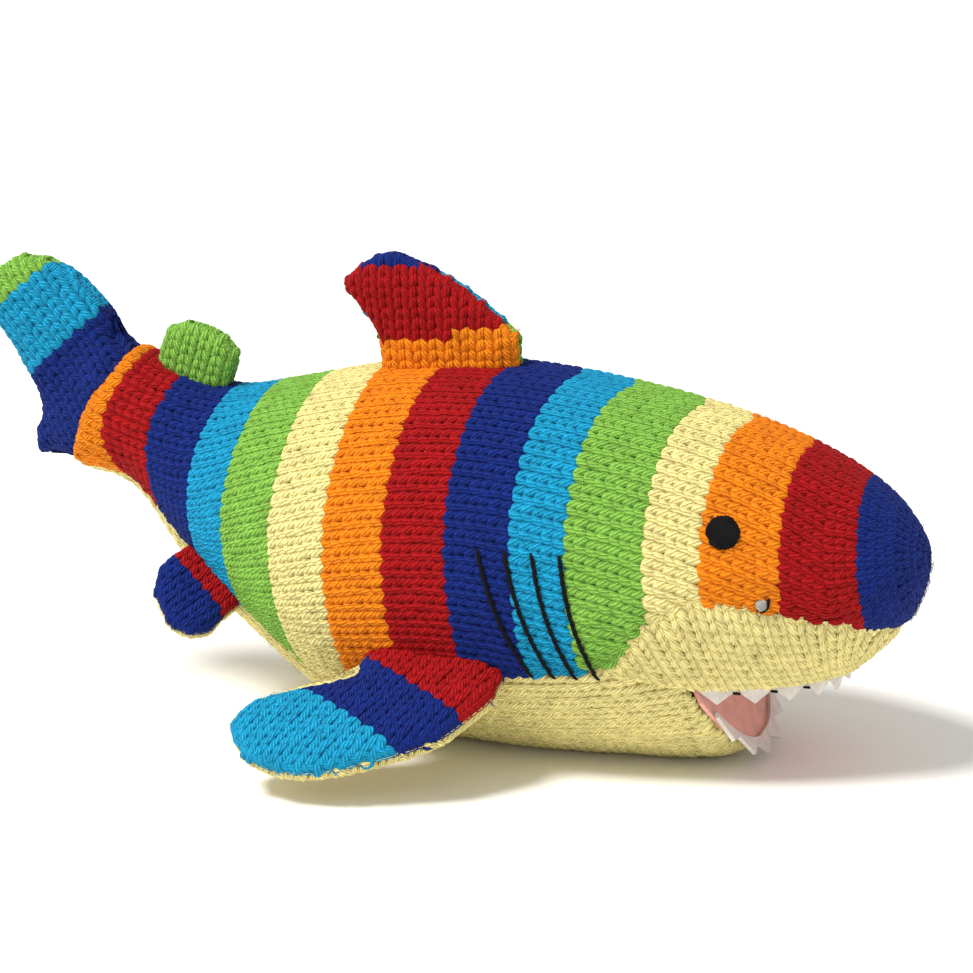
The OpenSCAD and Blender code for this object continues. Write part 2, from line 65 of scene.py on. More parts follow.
# ---- The knit ----
WALE = 5.7 * MM  # width of a stitch
COURSE = 3.62 * MM  # height of a stitch
YARN = 1.62 * MM  # radius of the yarn where a leg is fullest
SINK = 0.7 * MM  # how far below the skin the middle of the yarn lies
LINING = 1.35 * MM  # how far below the skin the closed cloth behind the stitches lies
FLOOR_GAP = 0.3 * MM  # the lowest that any yarn lies
SKEW = 0.025  # how far a leg of yarn strays sideways, in wales
SLIP = 0.05  # how far it strays along, in courses, and how much its thickness varies
HOVER = 0.07 * MM  # how far it strays up and down
FIBRE = 0.06 * MM  # radius of a loose fibre where it leaves the yarn

# ---- Colours ----
NAVY, RED, ORANGE, CREAM, GREEN, BLUE = "navy", "red", "orange", "cream", "green", "blue"
YARNS = {
    NAVY: "072474", RED: "a3040a", ORANGE: "fa850c", CREAM: "f7e694", GREEN: "84ba4a",
    BLUE: "1298c4",
}
STRIPES = [NAVY, RED, ORANGE, CREAM, GREEN, BLUE]
# Courses in each stripe of the back panel, from the nose to the tail seam
STRIPE_COURSES = [10, 7, 7, 5, 7, 5, 6, 6, 6, 6, 6, 5, 6, 5, 1]

# ---- The body: the same sections as the CAD body ----
# Place along the body, centre height, half width, height above and depth below the centre as
# shares of the body's length, height, half width, height and height, and the lean in degrees
BODY_SECTIONS = np.array([
    [0.000, 0.575, 0.000, 0.000, 0.000, -6],
    [0.029, 0.563, 0.345, 0.140, 0.165, -6],
    [0.094, 0.544, 0.575, 0.262, 0.300, -4],
    [0.203, 0.521, 0.790, 0.372, 0.500, 0],
    [0.340, 0.506, 0.935, 0.456, 0.522, 0],
    [0.493, 0.506, 1.000, 0.494, 0.525, 0],
    [0.647, 0.506, 0.935, 0.471, 0.482, 3],
    [0.770, 0.575, 0.755, 0.352, 0.360, 8],
    [0.862, 0.648, 0.525, 0.248, 0.250, 14],
    [0.933, 0.758, 0.395, 0.180, 0.180, 20],
    [1.000, 0.808, 0.345, 0.197, 0.197, 29],
])
# The seam below the stripes: place along the body and angle below the widest line
STRIPE_SEAM = np.array([
    [0.000, -89.8], [0.026, -89.8], [0.040, -50], [0.077, -21], [0.155, -5], [0.234, 0],
    [0.282, -7], [0.319, -19], [0.346, -22], [0.442, -26], [0.544, -35], [0.657, -43],
    [0.715, -44], [0.790, -41], [0.870, -38], [0.933, -50], [1.000, -72],
])
MUZZLE_START = 0.346  # share of the body's length where the muzzle panel begins
CHEEK = 0.2  # share of the muzzle's edge that follows the belly seam
SEAM_FRONT = 0.028  # share where the muzzle's seam crosses under the nose
LAST_LEAN = math.radians(BODY_SECTIONS[-1, 5])

back_low, back_high = (np.array(corner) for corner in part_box("back_panel"))
NOSE_X, HEIGHT, HALF_WIDTH = back_high[0], back_high[2], back_high[1]
# The back panel's rearmost corner lies below the tail seam's middle, by the seam's lean
RING = BODY_SECTIONS[-1, 4] * HEIGHT
LENGTH = NOSE_X - back_low[0] - RING * math.sin(math.radians(72)) * math.sin(LAST_LEAN)

jaw = JOINTS["jaw_close"]
JAW_PIVOT = np.array(jaw["pos_m"])
JAW_GAP = 0.5 * MM  # between the jaw's hinge line and the mouth's corner
JAW_OPEN = 28  # degrees that the jaw stands forward of straight down
CHIN_ROUND = 0.07  # share by which the jaw draws in at its front
MOUTH_SHARE = (NOSE_X - JAW_PIVOT[0] + JAW_GAP) / LENGTH
LIP_HEIGHT = JAW_PIVOT[2] + JAW_GAP
LIP_SHARE = 25.5 * MM / LENGTH  # where the upper lip's front is


def unit(v):
    """Vectors of length 1 along the last axis."""
    return v / np.maximum(np.linalg.norm(v, axis=-1, keepdims=True), 1e-12)


def mix(a, b, f):
    """A value between a and b, or a colour or point: a where f is 0 and b where it is 1."""
    return a + (b - a) * f


def smooth(x):
    """A step from 0 to 1 with level ends: 3 x squared less 2 x cubed."""
    x = np.clip(x, 0, 1)
    return x * x * (3 - 2 * x)


def lengths_along(points):
    """The length of a line of points up to each of them."""
    return np.concatenate([[0], np.cumsum(np.linalg.norm(np.diff(points, axis=0), axis=1))])


def between(places, at, points):
    """Points of a plane line at some places, straight between the points given at others."""
    return np.stack([np.interp(places, at, points[:, k]) for k in (0, 1)], -1)


def spline(points, t):
    """Catmull-Rom curve through points[1:-1], t counted in points from the second one."""
    k = np.clip(np.floor(t).astype(int), 0, len(points) - 4)
    f = (t - k)[..., None]
    a, b, c, d = (points[k + i] for i in range(4))
    return 0.5 * (2 * b + (c - a) * f + (2 * a - 5 * b + 4 * c - d) * f**2
                  + (3 * b - a - 3 * c + d) * f**3)


def section_rows():
    """The body's sections in metres, with one more at each end. The one before the nose is
    the first section turned inside out, which rounds the nose."""
    size = np.array([-LENGTH, HEIGHT, HALF_WIDTH, HEIGHT, HEIGHT, 1])
    rows = BODY_SECTIONS * size
    before = rows[1] * np.array([1, 1, -1, -1, -1, 1])
    before[1] = 2 * rows[0, 1] - rows[1, 1]
    return np.vstack([before, rows, 2 * rows[-1] - rows[-2]])


ROWS = section_rows()
KNOTS = np.linspace(0, len(BODY_SECTIONS) - 1, 4001)
SHARES = -spline(ROWS, KNOTS)[:, 0] / LENGTH


def skin(share, angle):
    """The body's surface: an oval of half width w and height h at each share of the length,
    angle 0 on the shark's right, 90 on its back and -90 on its belly. The oval leans, and it
    is cut off flat where the body rests."""
    r = spline(ROWS, np.interp(share, SHARES, KNOTS))
    turn, lean = np.radians(angle), np.radians(r[..., 5])
    h = np.where(np.sin(turn) > 0, r[..., 3], r[..., 4]) * np.sin(turn)
    return np.stack([
        NOSE_X + r[..., 0] + h * np.sin(lean),
        -r[..., 2] * np.cos(turn),
        np.maximum(0, r[..., 1] + h * np.cos(lean)),
    ], -1)


TAIL_BACK = np.array([-math.cos(LAST_LEAN), 0, math.sin(LAST_LEAN)])
TAIL_MIDDLE = np.array([NOSE_X - LENGTH, 0, BODY_SECTIONS[-1, 1] * HEIGHT])
TUCK = 20 * MM  # length of cloth over which the body's end draws in round the tail fin


def body_point(share, angle):
    """A point of the body's surface and the outward direction there, which is the cross
    product of the steps along and around it. Past share 1 the cloth turns in behind the
    tail's seam towards its middle."""
    step = 0.004
    past = np.clip((share - 1) * LENGTH / TUCK, 0, 1)[..., None]
    share = np.clip(share, 0.0008, 1)
    along = skin(np.maximum(share - step, 0), angle) - skin(np.minimum(share + step, 1), angle)
    around = skin(share, angle + 1.5) - skin(share, angle - 1.5)
    point, normal = skin(share, angle), unit(np.cross(along, around))
    point = mix(point, TAIL_MIDDLE, past * 0.6) + TAIL_BACK * 0.3 * TUCK * np.sin(past * 1.6)
    return point, unit(mix(normal, TAIL_BACK, smooth(past * 2.5)))


def seam_angle(share):
    """Angle of the seam below the stripes at a share of the length."""
    return np.interp(share, STRIPE_SEAM[:, 0], STRIPE_SEAM[:, 1])


def angle_at_height(share, z):
    """Angle at which a section meets a level plane."""
    r = spline(ROWS, np.interp(share, SHARES, KNOTS))
    drop = (r[..., 1] - z) / (r[..., 4] * np.cos(np.radians(r[..., 5])))
    return -np.degrees(np.arcsin(np.clip(drop, -1, 1)))


CORNER_ANGLE = float(angle_at_height(np.array(MOUTH_SHARE), LIP_HEIGHT))


def belly_angle(share):
    """The belly's seam: below the stripes, then forward and down to the mouth's corner."""
    f = np.clip((MUZZLE_START - share) / (MUZZLE_START - MOUTH_SHARE), 0, 1)
    return np.where(share > MUZZLE_START, seam_angle(share),
                    mix(seam_angle(MUZZLE_START), CORNER_ANGLE, f))


# ---- Lengths of cloth over the body ----
GRID_SHARES = np.linspace(0.002, 1, 260)
GRID_ARCS = np.linspace(0, 215 * MM, 431)
ANGLES = np.linspace(-90, 90, 361)
OVALS = skin(*np.meshgrid(GRID_SHARES, ANGLES, indexing="ij"))
STEPS = np.linalg.norm(np.diff(OVALS, axis=1), axis=2)
GIRTH = 2 * STEPS.sum(1)


def unrolled(steps, angles):
    """For each section, the angle at each length of cloth from its first angle."""
    lengths = np.concatenate([np.zeros((len(steps), 1)), np.cumsum(steps, 1)], 1)
    return np.array([np.interp(GRID_ARCS, row, angles) for row in lengths])


FROM_BACK = unrolled(STEPS[:, ::-1], ANGLES[::-1])
FROM_BELLY = unrolled(STEPS, ANGLES)


def unroll(table, share, arc):
    """Angle on the right side at a share and a length of cloth, between four grid values."""
    i = np.interp(share, GRID_SHARES, np.arange(len(GRID_SHARES)))
    j = np.clip(arc / GRID_ARCS[1], 0, len(GRID_ARCS) - 1.001)
    i0, j0 = np.minimum(i.astype(int), len(GRID_SHARES) - 2), j.astype(int)
    fi, fj = i - i0, j - j0
    low = mix(table[i0, j0], table[i0, j0 + 1], fj)
    high = mix(table[i0 + 1, j0], table[i0 + 1, j0 + 1], fj)
    return mix(low, high, fi)


def girth_at(share):
    """Length of cloth once round the body at a share of its length."""
    return np.interp(share, GRID_SHARES, GIRTH)


side_shares = np.linspace(0, 1, 2001)
side_line = skin(side_shares, np.full(2001, 25.0))
SIDE_LENGTHS = lengths_along(side_line)
BODY_COURSES = sum(STRIPE_COURSES)
BODY_PITCH = SIDE_LENGTHS[-1] / BODY_COURSES
# In front of this share the wales draw in to the nose instead of running parallel
GATHER_SHARE = 0.094
STRIPE_BOW = 0.03  # share of the length by which a stripe's ends run ahead of its middle


def back_place(wale, course):
    """Share and angle of a point of the striped panel. Wales are counted to the right from
    the back's midline and courses from the nose; a course bows back in the middle of each
    flank."""
    share = np.interp(course * BODY_PITCH, SIDE_LENGTHS, side_shares)
    share = share + np.maximum(course - BODY_COURSES, 0) * BODY_PITCH / LENGTH
    start = share
    for _ in range(2):
        angle = unroll(FROM_BACK, np.clip(share, GATHER_SHARE, 1), np.abs(wale) * WALE)
        away = ((angle - 28) / 62) ** 2
        above = np.sin(np.pi * np.clip((start - 0.05) / 0.65, 0, 1))
        below = np.clip(start / 0.3, 0, 1)
        share = start - STRIPE_BOW * away * np.where(angle > 28, above, below)
    return share, np.where(wale >= 0, angle, 180 - angle)


def mirrored(angle):
    """The same angle on the shark's right, and whether it was on its left."""
    left = np.cos(np.radians(angle)) < 0
    return np.where(left, np.where(angle > 90, 180 - angle, -180 - angle), angle), left


SEAM_PULL, SEAM_REACH = 1.6 * MM, 2.2 * MM


def pulled(point, normal, gap):
    """The surface drawn in beside a seam, by less and less with the distance from it."""
    return point - normal * (SEAM_PULL * np.exp(-np.maximum(gap, 0) / SEAM_REACH))[..., None]


def back_cloth(wale, course):
    """The striped panel, held inside its seams, its courses counted forward from the tail.
    Returns points, directions and a mask of what lies inside."""
    share, angle = back_place(wale, BODY_COURSES - course)
    right, left = mirrored(angle)
    gap = (right - seam_angle(share)) * girth_at(share) / 360
    right = np.maximum(right, seam_angle(share))
    point, normal = body_point(share, np.where(left, 180 - right, right))
    # Under the nose tip the panel meets itself, with no crease
    edge = np.where(share < SEAM_FRONT, LENGTH, np.abs(gap))
    return pulled(point, normal, edge), normal, gap > -0.2 * WALE


def belly_cloth(wale, course):
    """The belly panel: wales are counted to the right from the belly's midline, and courses
    forward from the tail seam."""
    ahead = 1 - course * COURSE / LENGTH
    share = np.maximum(ahead, MOUTH_SHARE)
    right = unroll(FROM_BELLY, np.clip(share, 0.01, 1), np.abs(wale) * WALE)
    high = belly_angle(share)
    gap = (high - right) * girth_at(share) / 360
    inside = (gap > -0.2 * WALE) & (ahead > MOUTH_SHARE - 0.5 * COURSE / LENGTH)
    right = np.minimum(right, high)
    point, normal = body_point(share, np.where(wale >= 0, right, -180 - right))
    return pulled(point, normal, np.abs(gap)), normal, inside


BELLY_COURSES = (1 - MOUTH_SHARE) * LENGTH / COURSE


def jaw_point(angle, forward):
    """The lower jaw: the body's section at the mouth, turned forward about the line between
    the mouth's corners and drawn in a little as it goes."""
    p = skin(np.full(np.shape(angle), MOUTH_SHARE), angle)
    reach = (JAW_PIVOT[2] - p[..., 2]) * (1 - CHIN_ROUND * forward**2)
    turn = np.radians(forward * JAW_OPEN)
    return np.stack([
        JAW_PIVOT[0] - JAW_GAP + reach * np.sin(turn),
        p[..., 1] * (1 - CHIN_ROUND / 2 * forward),
        JAW_PIVOT[2] - reach * np.cos(turn),
    ], -1)


def jaw_skin(angle, forward):
    """A point of the lower jaw and the outward direction there, from steps along and around."""
    step = 0.02
    along = jaw_point(angle, forward + step) - jaw_point(angle, forward - step)
    around = jaw_point(angle + 1, forward) - jaw_point(angle - 1, forward)
    return jaw_point(angle, forward), unit(np.cross(along, around))


def chin_cloth(wale, course):
    """The end of the belly panel, which is the lower jaw. Courses are counted forward from
    the mouth's corners, and there are fewer of them near the corners."""
    right = unroll(FROM_BELLY, np.full(np.shape(wale), MOUTH_SHARE), np.abs(wale) * WALE)
    inside = right < CORNER_ANGLE - 1.2
    right = np.minimum(right, CORNER_ANGLE - 1)
    angle = np.where(wale >= 0, right, -180 - right)
    arc = np.linalg.norm(jaw_point(angle, 1.0) - jaw_point(angle, 0.0), axis=-1)
    forward = course * COURSE / np.maximum(arc, 0.1 * MM)
    point, normal = jaw_skin(angle, np.clip(forward, 0, 1))
    return point, normal, inside & (forward < 1)


def muzzle_edges(u):
    """Share and angle of the muzzle's upper and lower edges, u from 0 at its right rear end
    to 1 at its left rear end."""
    h = 1 - np.abs(1 - 2 * u)
    upper_share = mix(MUZZLE_START, SEAM_FRONT, h)
    behind = mix(MUZZLE_START, MOUTH_SHARE, np.minimum(1, h / CHEEK))
    round_u = 0.5 * np.clip((h - CHEEK) / (1 - CHEEK), 0, 1)
    lip_share = mix(MOUTH_SHARE, LIP_SHARE, np.sin(np.pi * round_u))
    lip_angle = np.where(round_u > 0.4999, -90, angle_at_height(lip_share, LIP_HEIGHT))
    cheeks = h <= CHEEK
    lower_share = np.where(cheeks, behind, lip_share)
    lower_angle = np.where(cheeks, belly_angle(behind), lip_angle)
    return upper_share, seam_angle(upper_share), lower_share, lower_angle


def muzzle_skin(u, v):
    """The muzzle from its upper edge, v = 0, to its lower edge, v = 1."""
    s0, a0, s1, a1 = muzzle_edges(u)
    right = mix(a0, a1, v)
    return body_point(mix(s0, s1, v), np.where(u <= 0.5, right, -180 - right))


muzzle_u = np.linspace(0, 1, 401)
muzzle_mid = muzzle_skin(muzzle_u, np.full(401, 0.55))[0]
MUZZLE_ARCS = lengths_along(muzzle_mid)
MUZZLE_ARCS -= MUZZLE_ARCS[-1] / 2
muzzle_rows = muzzle_skin(*np.meshgrid(muzzle_u, np.linspace(0, 1, 15), indexing="ij"))[0]
MUZZLE_HEIGHTS = np.linalg.norm(np.diff(muzzle_rows, axis=1), axis=2).sum(1)


def muzzle_cloth(wale, course):
    """The muzzle panel: wales are counted round the snout from its middle, and courses up
    from the lip."""
    u = np.interp(wale * WALE, MUZZLE_ARCS, muzzle_u)
    height = np.maximum(np.interp(u, muzzle_u, MUZZLE_HEIGHTS), 0.1 * MM)
    gap = height - course * COURSE
    inside = (gap > -0.2 * COURSE) & (course >= 0) & (np.abs(wale * WALE) < MUZZLE_ARCS[-1])
    point, normal = muzzle_skin(u, np.clip(gap / height, 0, 1))
    cheek = np.abs(1 - 2 * u) > 1 - CHEEK
    edge = np.where(cheek, np.minimum(np.abs(gap), course * COURSE), np.abs(gap))
    return pulled(point, normal, edge), normal, inside


# ---- Fins ----
# Outlines from the front of the root to the back, as shares of the chord and the span
DORSAL_OUTLINE = [
    [0.5, 0], [0.36, 0.26], [0.08, 0.65], [-0.26, 0.95], [-0.42, 1], [-0.62, 0.84],
    [-0.72, 0.61], [-0.58, 0.26], [-0.5, 0],
]
REAR_DORSAL_OUTLINE = [
    [0.5, 0], [0.45, 0.55], [0.27, 0.87], [0, 1], [-0.27, 0.9], [-0.45, 0.55], [-0.5, 0],
]
PECTORAL_OUTLINE = [
    [0.5, 0], [0.42, 0.17], [0.22, 0.5], [-0.12, 0.76], [-0.56, 0.98], [-0.93, 0.95],
    [-1.18, 0.7], [-1.13, 0.4], [-0.86, 0.2], [-0.66, 0.1], [-0.5, 0],
]
PELVIC_OUTLINE = [
    [0.5, 0], [0.55, 0.5], [0.36, 0.95], [0.05, 1], [-0.27, 0.78], [-0.44, 0.38], [-0.5, 0],
]
TAIL_OUTLINE = [
    [0.5, 0], [0.63, 0.165], [0.7, 0.52], [0.63, 0.77], [0.47, 0.91], [0.23, 1], [0.08, 0.9],
    [0.02, 0.69], [-0.17, 0.38], [-0.31, 0.24], [-0.48, 0.21], [-0.6, 0.11], [-0.5, 0],
]


def fin(joint, outward, outline, chord, span, root, full, rise, lean=0.0, flare=0.0,
        seam=0.0, pinch=0.97):
    """A fin's frame and sizes, in metres and degrees. root is its half thickness at the
    root, full its greatest, and rise the distance from the edge over which it gets there.
    The wales run outwards and lean towards the rear by an angle. flare widens the root, seam
    is the height of the edge's seam, and pinch narrows the part inside the body."""
    axis = np.array(JOINTS[joint]["axis"])
    forward = axis * np.sign(axis[0])
    out = unit(np.array(outward) - np.dot(outward, forward) * forward)
    points = np.array(outline) * np.array([chord, span])
    ends = np.vstack([2 * points[0] - points[1], points, 2 * points[-1] - points[-2]])
    edge = spline(ends, np.linspace(0, len(points) - 1, 12 * (len(points) - 1) + 1))
    depth = root + 5 * MM
    edge = np.vstack([[edge[0, 0] * pinch, -depth], edge, [edge[-1, 0] * pinch, -depth]])
    turn = math.radians(lean)
    return {
        "middle": np.array(JOINTS[joint]["pos_m"]), "forward": forward, "out": out,
        "normal": np.cross(forward, out), "edge": edge, "root": root, "full": full,
        "rise": rise, "flare": flare, "depth": depth, "seam": seam,
        "up": np.array([-math.sin(turn), math.cos(turn)]),
        "across": np.array([math.cos(turn), math.sin(turn)]),
    }


def edge_distance(edge, p):
    """Distance of each point of a fin's plane from its edge, negative outside it, and the
    nearest point of the edge."""
    flat = p.reshape(-1, 2)
    a, b = edge[:-1], edge[1:]
    run = b - a
    f = np.clip(((flat[:, None] - a) * run).sum(2) / (run**2).sum(1), 0, 1)
    near = a + f[..., None] * run
    gap = np.linalg.norm(flat[:, None] - near, axis=2)
    best = gap.argmin(1)
    rows = np.arange(len(flat))
    c, d = edge, np.roll(edge, -1, 0)
    crosses = (c[:, 1] > flat[:, 1:2]) != (d[:, 1] > flat[:, 1:2])
    rise = np.where(d[:, 1] == c[:, 1], 1e-9, d[:, 1] - c[:, 1])
    at = c[:, 0] + (flat[:, 1:2] - c[:, 1]) * (d[:, 0] - c[:, 0]) / rise
    inside = (crosses & (flat[:, :1] < at)).sum(1) % 2 == 1
    distance = np.where(inside, 1, -1) * gap[rows, best]
    return distance.reshape(p.shape[:-1]), near[rows, best].reshape(p.shape)


FLARE_REACH = 20 * MM  # how far above its root a flared fin is still widened
SEAM_FADE = 7 * MM  # distance over which a fin's seam comes back to its plane


def fin_height(shape, side, p):
    """Height of a stuffed fin's side over its plane: a quarter round from its edge, as high
    as the fin is full and wider at the root if it flares. The seam round the edge stands to
    one side of the plane by the fin's seam height, which fades away from the edge."""
    distance, _ = edge_distance(shape["edge"], p)
    f = np.clip(distance / shape["rise"], 0, 1)
    wide = 1 + shape["flare"] * (1 - smooth((p[..., 1] + shape["root"]) / FLARE_REACH))
    return (side * shape["full"] * wide * np.sqrt(1 - (1 - f) ** 2)
            + shape["seam"] * np.exp(-np.maximum(distance, 0) / SEAM_FADE))


def fin_skin(shape, side, p):
    """A point of one side of a fin above a point of its plane, and the outward direction."""
    step = 0.4 * MM
    steps = np.array([[step, 0], [0, step]])
    height = fin_height(shape, side, p)
    slope = [(fin_height(shape, side, p + s) - fin_height(shape, side, p - s)) / (2 * step)
             for s in steps]
    normal = side * (shape["normal"] - slope[0][..., None] * shape["forward"]
                     - slope[1][..., None] * shape["out"])
    point = (shape["middle"] + p[..., :1] * shape["forward"] + p[..., 1:] * shape["out"]
             + height[..., None] * shape["normal"])
    return point, unit(normal)


def fin_place(shape, wale, course):
    """A place in a fin's plane. Wales and courses run from the middle of its root."""
    return (wale * WALE)[..., None] * shape["across"] + (course * COURSE)[..., None] * shape["up"]


def fin_cloth(shape, side):
    """The cloth of one side of a fin, as a function of wale and course."""
    def cloth(wale, course):
        p = fin_place(shape, wale, course)
        distance, nearest = edge_distance(shape["edge"], p)
        inside = (distance > 0.12 * WALE) & (p[..., 1] > -shape["depth"])
        p = np.where((distance < 0.15 * MM)[..., None], nearest, p)
        point, normal = fin_skin(shape, side, p)
        return point, normal, inside
    return cloth


# ---- Yarn and meshes ----
def tubes(centres, normals, radius, flat=0.62, sides=8):
    """Tubes with rounded ends along rows of centre points. A ring's points stand at the
    radius from its centre, across the tube and along the surface's direction. Returns
    points, faces and each corner's place along and around the tube, in millimetres."""
    count, rings = centres.shape[:2]
    tangent = unit(np.gradient(centres, axis=1))
    side = unit(np.cross(tangent, normals))
    lift = np.cross(side, tangent)
    turn = np.linspace(0, 2 * np.pi, sides, endpoint=False)
    radius = np.broadcast_to(radius, (count, rings))[..., None, None]
    ring = (side[:, :, None] * np.cos(turn)[:, None]
            + flat * lift[:, :, None] * np.sin(turn)[:, None]) * radius
    points = (centres[:, :, None] + ring).reshape(count, rings * sides, 3)
    tips = np.stack([
        centres[:, 0] - tangent[:, 0] * radius[:, 0, 0] * 0.6,
        centres[:, -1] + tangent[:, -1] * radius[:, -1, 0] * 0.6,
    ], 1)
    points = np.concatenate([points, tips], 1)
    i, j = np.meshgrid(np.arange(rings - 1), np.arange(sides), indexing="ij")
    a, b = i * sides + j, i * sides + (j + 1) % sides
    quads = np.stack([a, a + sides, b + sides, b], -1).reshape(-1, 4)
    k = np.arange(sides)
    last = (rings - 1) * sides
    tip = rings * sides
    tris = np.concatenate([
        np.stack([k, (k + 1) % sides, np.full(sides, tip)], -1),
        np.stack([last + (k + 1) % sides, last + k, np.full(sides, tip + 1)], -1),
    ])
    length = np.linalg.norm(np.diff(centres[0], axis=0), axis=1).sum() / MM
    around = 2 * np.pi * YARN / MM
    u = length * np.stack([i, i + 1, i + 1, i], -1).reshape(-1, 4) / (rings - 1)
    v = around * np.stack([j, j, j + 1, j + 1], -1).reshape(-1, 4) / sides
    quad_uv = np.stack([u, v], -1)
    cap_v = around * np.stack([k, k + 1, k + 0.5], -1) / sides
    tri_uv = np.concatenate([
        np.stack([0 * cap_v, cap_v], -1),
        np.stack([length + 0 * cap_v, cap_v[:, [1, 0, 2]]], -1),
    ])
    step = (np.arange(count) * points.shape[1])[:, None, None]
    return (points.reshape(-1, 3), (quads + step).reshape(-1, 4), (tris + step).reshape(-1, 3),
            np.tile(quad_uv, (count, 1, 1)), np.tile(tri_uv, (count, 1, 1)))


def some_tubes(parts, keep):
    """The tubes that are kept, out of a whole set."""
    points, quads, tris, quad_uv, tri_uv = parts
    count = len(keep)
    points = points.reshape(count, -1, 3)[keep]
    step = (np.arange(count) * points.shape[1])[:, None, None]
    drop = step[keep] - step[:keep.sum()]
    quads = quads.reshape(count, -1, 4)[keep] - drop
    tris = tris.reshape(count, -1, 3)[keep] - drop
    return (points.reshape(-1, 3), quads.reshape(-1, 4), tris.reshape(-1, 3),
            quad_uv.reshape(count, -1, 4, 2)[keep].reshape(-1, 4, 2),
            tri_uv.reshape(count, -1, 3, 2)[keep].reshape(-1, 3, 2))


def sheet_grid(points, normals):
    """A grid of points as quads that face along the normals, with a place in cells as its
    UV. Cells that have shrunk to nothing are left out."""
    rows, columns = points.shape[:2]
    i, j = np.meshgrid(np.arange(rows - 1), np.arange(columns - 1), indexing="ij")
    a = i * columns + j
    quads = np.stack([a, a + columns, a + columns + 1, a + 1], -1).reshape(-1, 4)
    points, normals = points.reshape(-1, 3), normals.reshape(-1, 3)
    p = points[quads]
    facing_out = np.cross(p[:, 2] - p[:, 0], p[:, 3] - p[:, 1])
    quads = quads[np.linalg.norm(facing_out, axis=1) > 1e-9]
    if (facing_out * normals[a.ravel()]).sum() < 0:
        quads = quads[:, ::-1]
    uv = np.stack([quads // columns, quads % columns], -1) * 1.0
    return points, quads, np.zeros((0, 3), int), uv, np.zeros((0, 3, 2))


def placed(name, data):
    """An object made of some data and put in the scene."""
    thing = bpy.data.objects.new(name, data)
    bpy.context.scene.collection.objects.link(thing)
    return thing


def mesh_piece(name, parts, material, flip=False):
    """One object from parts of (points, quads, tris, quad uv, tri uv), set as whole arrays."""
    offsets = np.cumsum([0] + [len(part[0]) for part in parts[:-1]])
    moved = [(part[0], part[1] + o, part[2] + o, *part[3:]) for part, o in zip(parts, offsets)]
    points, quads, tris, quad_uv, tri_uv = map(np.concatenate, zip(*moved))
    if flip:
        points = points * np.array([1, -1, 1])
        quads, tris = quads[:, ::-1], tris[:, ::-1]
        quad_uv, tri_uv = quad_uv[:, ::-1], tri_uv[:, ::-1]
    points[:, 2] = np.maximum(points[:, 2], FLOOR_GAP)
    mesh = bpy.data.meshes.new(name)
    mesh.vertices.add(len(points))
    mesh.vertices.foreach_set("co", points.astype(np.float32).ravel())
    corners = np.concatenate([quads.ravel(), tris.ravel()])
    mesh.loops.add(len(corners))
    mesh.loops.foreach_set("vertex_index", corners.astype(np.int32))
    totals = np.concatenate([np.full(len(quads), 4), np.full(len(tris), 3)])
    mesh.polygons.add(len(totals))
    mesh.polygons.foreach_set("loop_start", np.cumsum(totals) - totals)
    mesh.polygons.foreach_set("use_smooth", np.ones(len(totals), bool))
    uv = mesh.uv_layers.new(name="yarn")
    both = np.concatenate([quad_uv.reshape(-1, 2), tri_uv.reshape(-1, 2)])
    uv.data.foreach_set("uv", both.astype(np.float32).ravel())
    mesh.update(calc_edges=True)
    mesh.validate()
    mesh.materials.append(material)
    return placed(name, mesh)


# A leg of a stitch from its foot to its head: wales across from the stitch's middle, courses
# along, height below the skin and radius as shares of the yarn's
LEG_ACROSS = np.array([0.08, 0.15, 0.22, 0.29, 0.35, 0.40])
LEG_ALONG = np.array([-0.34, -0.02, 0.32, 0.68, 1.04, 1.36])
LEG_DEPTH = np.array([0.85, 0.28, 0.00, 0.04, 0.40, 0.95])
LEG_RADIUS = np.array([0.60, 0.86, 0.97, 1.00, 0.92, 0.62])


def fuzz(cloth, wales, courses, rng):
    """Loose fibres of the yarn, one for each stitch: each leaves the surface at a random
    place, arches over it as a half sine and comes to a point."""
    wales = wales + rng.uniform(-0.5, 0.5, len(wales))
    point, normal, inside = cloth(wales, courses + rng.uniform(0, 1, len(wales)))
    point, normal = point[inside], normal[inside]
    count = len(point)
    run = unit(np.cross(normal, rng.normal(0, 1, (count, 3))))
    run = run * rng.uniform(1.2, 3.2, (count, 1)) * MM
    rise = rng.uniform(0.5, 1.3, (count, 1)) * MM
    f = np.linspace(0, 1, 4)
    centres = (point[:, None] + run[:, None] * f[:, None]
               + normal[:, None] * (rise * np.sin(2.2 * f))[..., None])
    normals = np.broadcast_to(normal[:, None], centres.shape)
    return tubes(centres, normals, FIBRE * (1 - 0.6 * f), 1.0, 3)


def stitches(cloth, wales, courses, spread, seed):
    """Tubes for the stitches at these wales and courses, and the fuzz on them. Each stitch
    is two legs that part as they rise; each leg is shifted a little at random."""
    rng = np.random.default_rng(seed)
    inside = cloth(wales, courses + 0.5)[2]
    wales, courses, spread = wales[inside], courses[inside], spread[inside]
    sides = np.array([-1.0, 1.0])[None, :, None]
    loose = rng.normal(0, SKEW, (len(wales), 2, 1))
    across = wales[:, None, None] + spread[:, None, None] * sides * (LEG_ACROSS + loose)
    along = courses[:, None, None] + LEG_ALONG + rng.normal(0, SLIP, (len(wales), 2, 1))
    rings = len(LEG_ALONG)
    across, along = across.reshape(-1, rings), (along + 0 * across).reshape(-1, rings)
    point, normal, _ = cloth(across, along)
    depth = SINK + YARN * LEG_DEPTH * 0.8 + rng.normal(0, HOVER, (len(across), 1))
    plump = 1 + rng.normal(0, SLIP, (len(across), 1))
    yarn = tubes(point - normal * depth[..., None], normal, YARN * LEG_RADIUS * plump)
    return [yarn, fuzz(cloth, wales, courses, rng)]


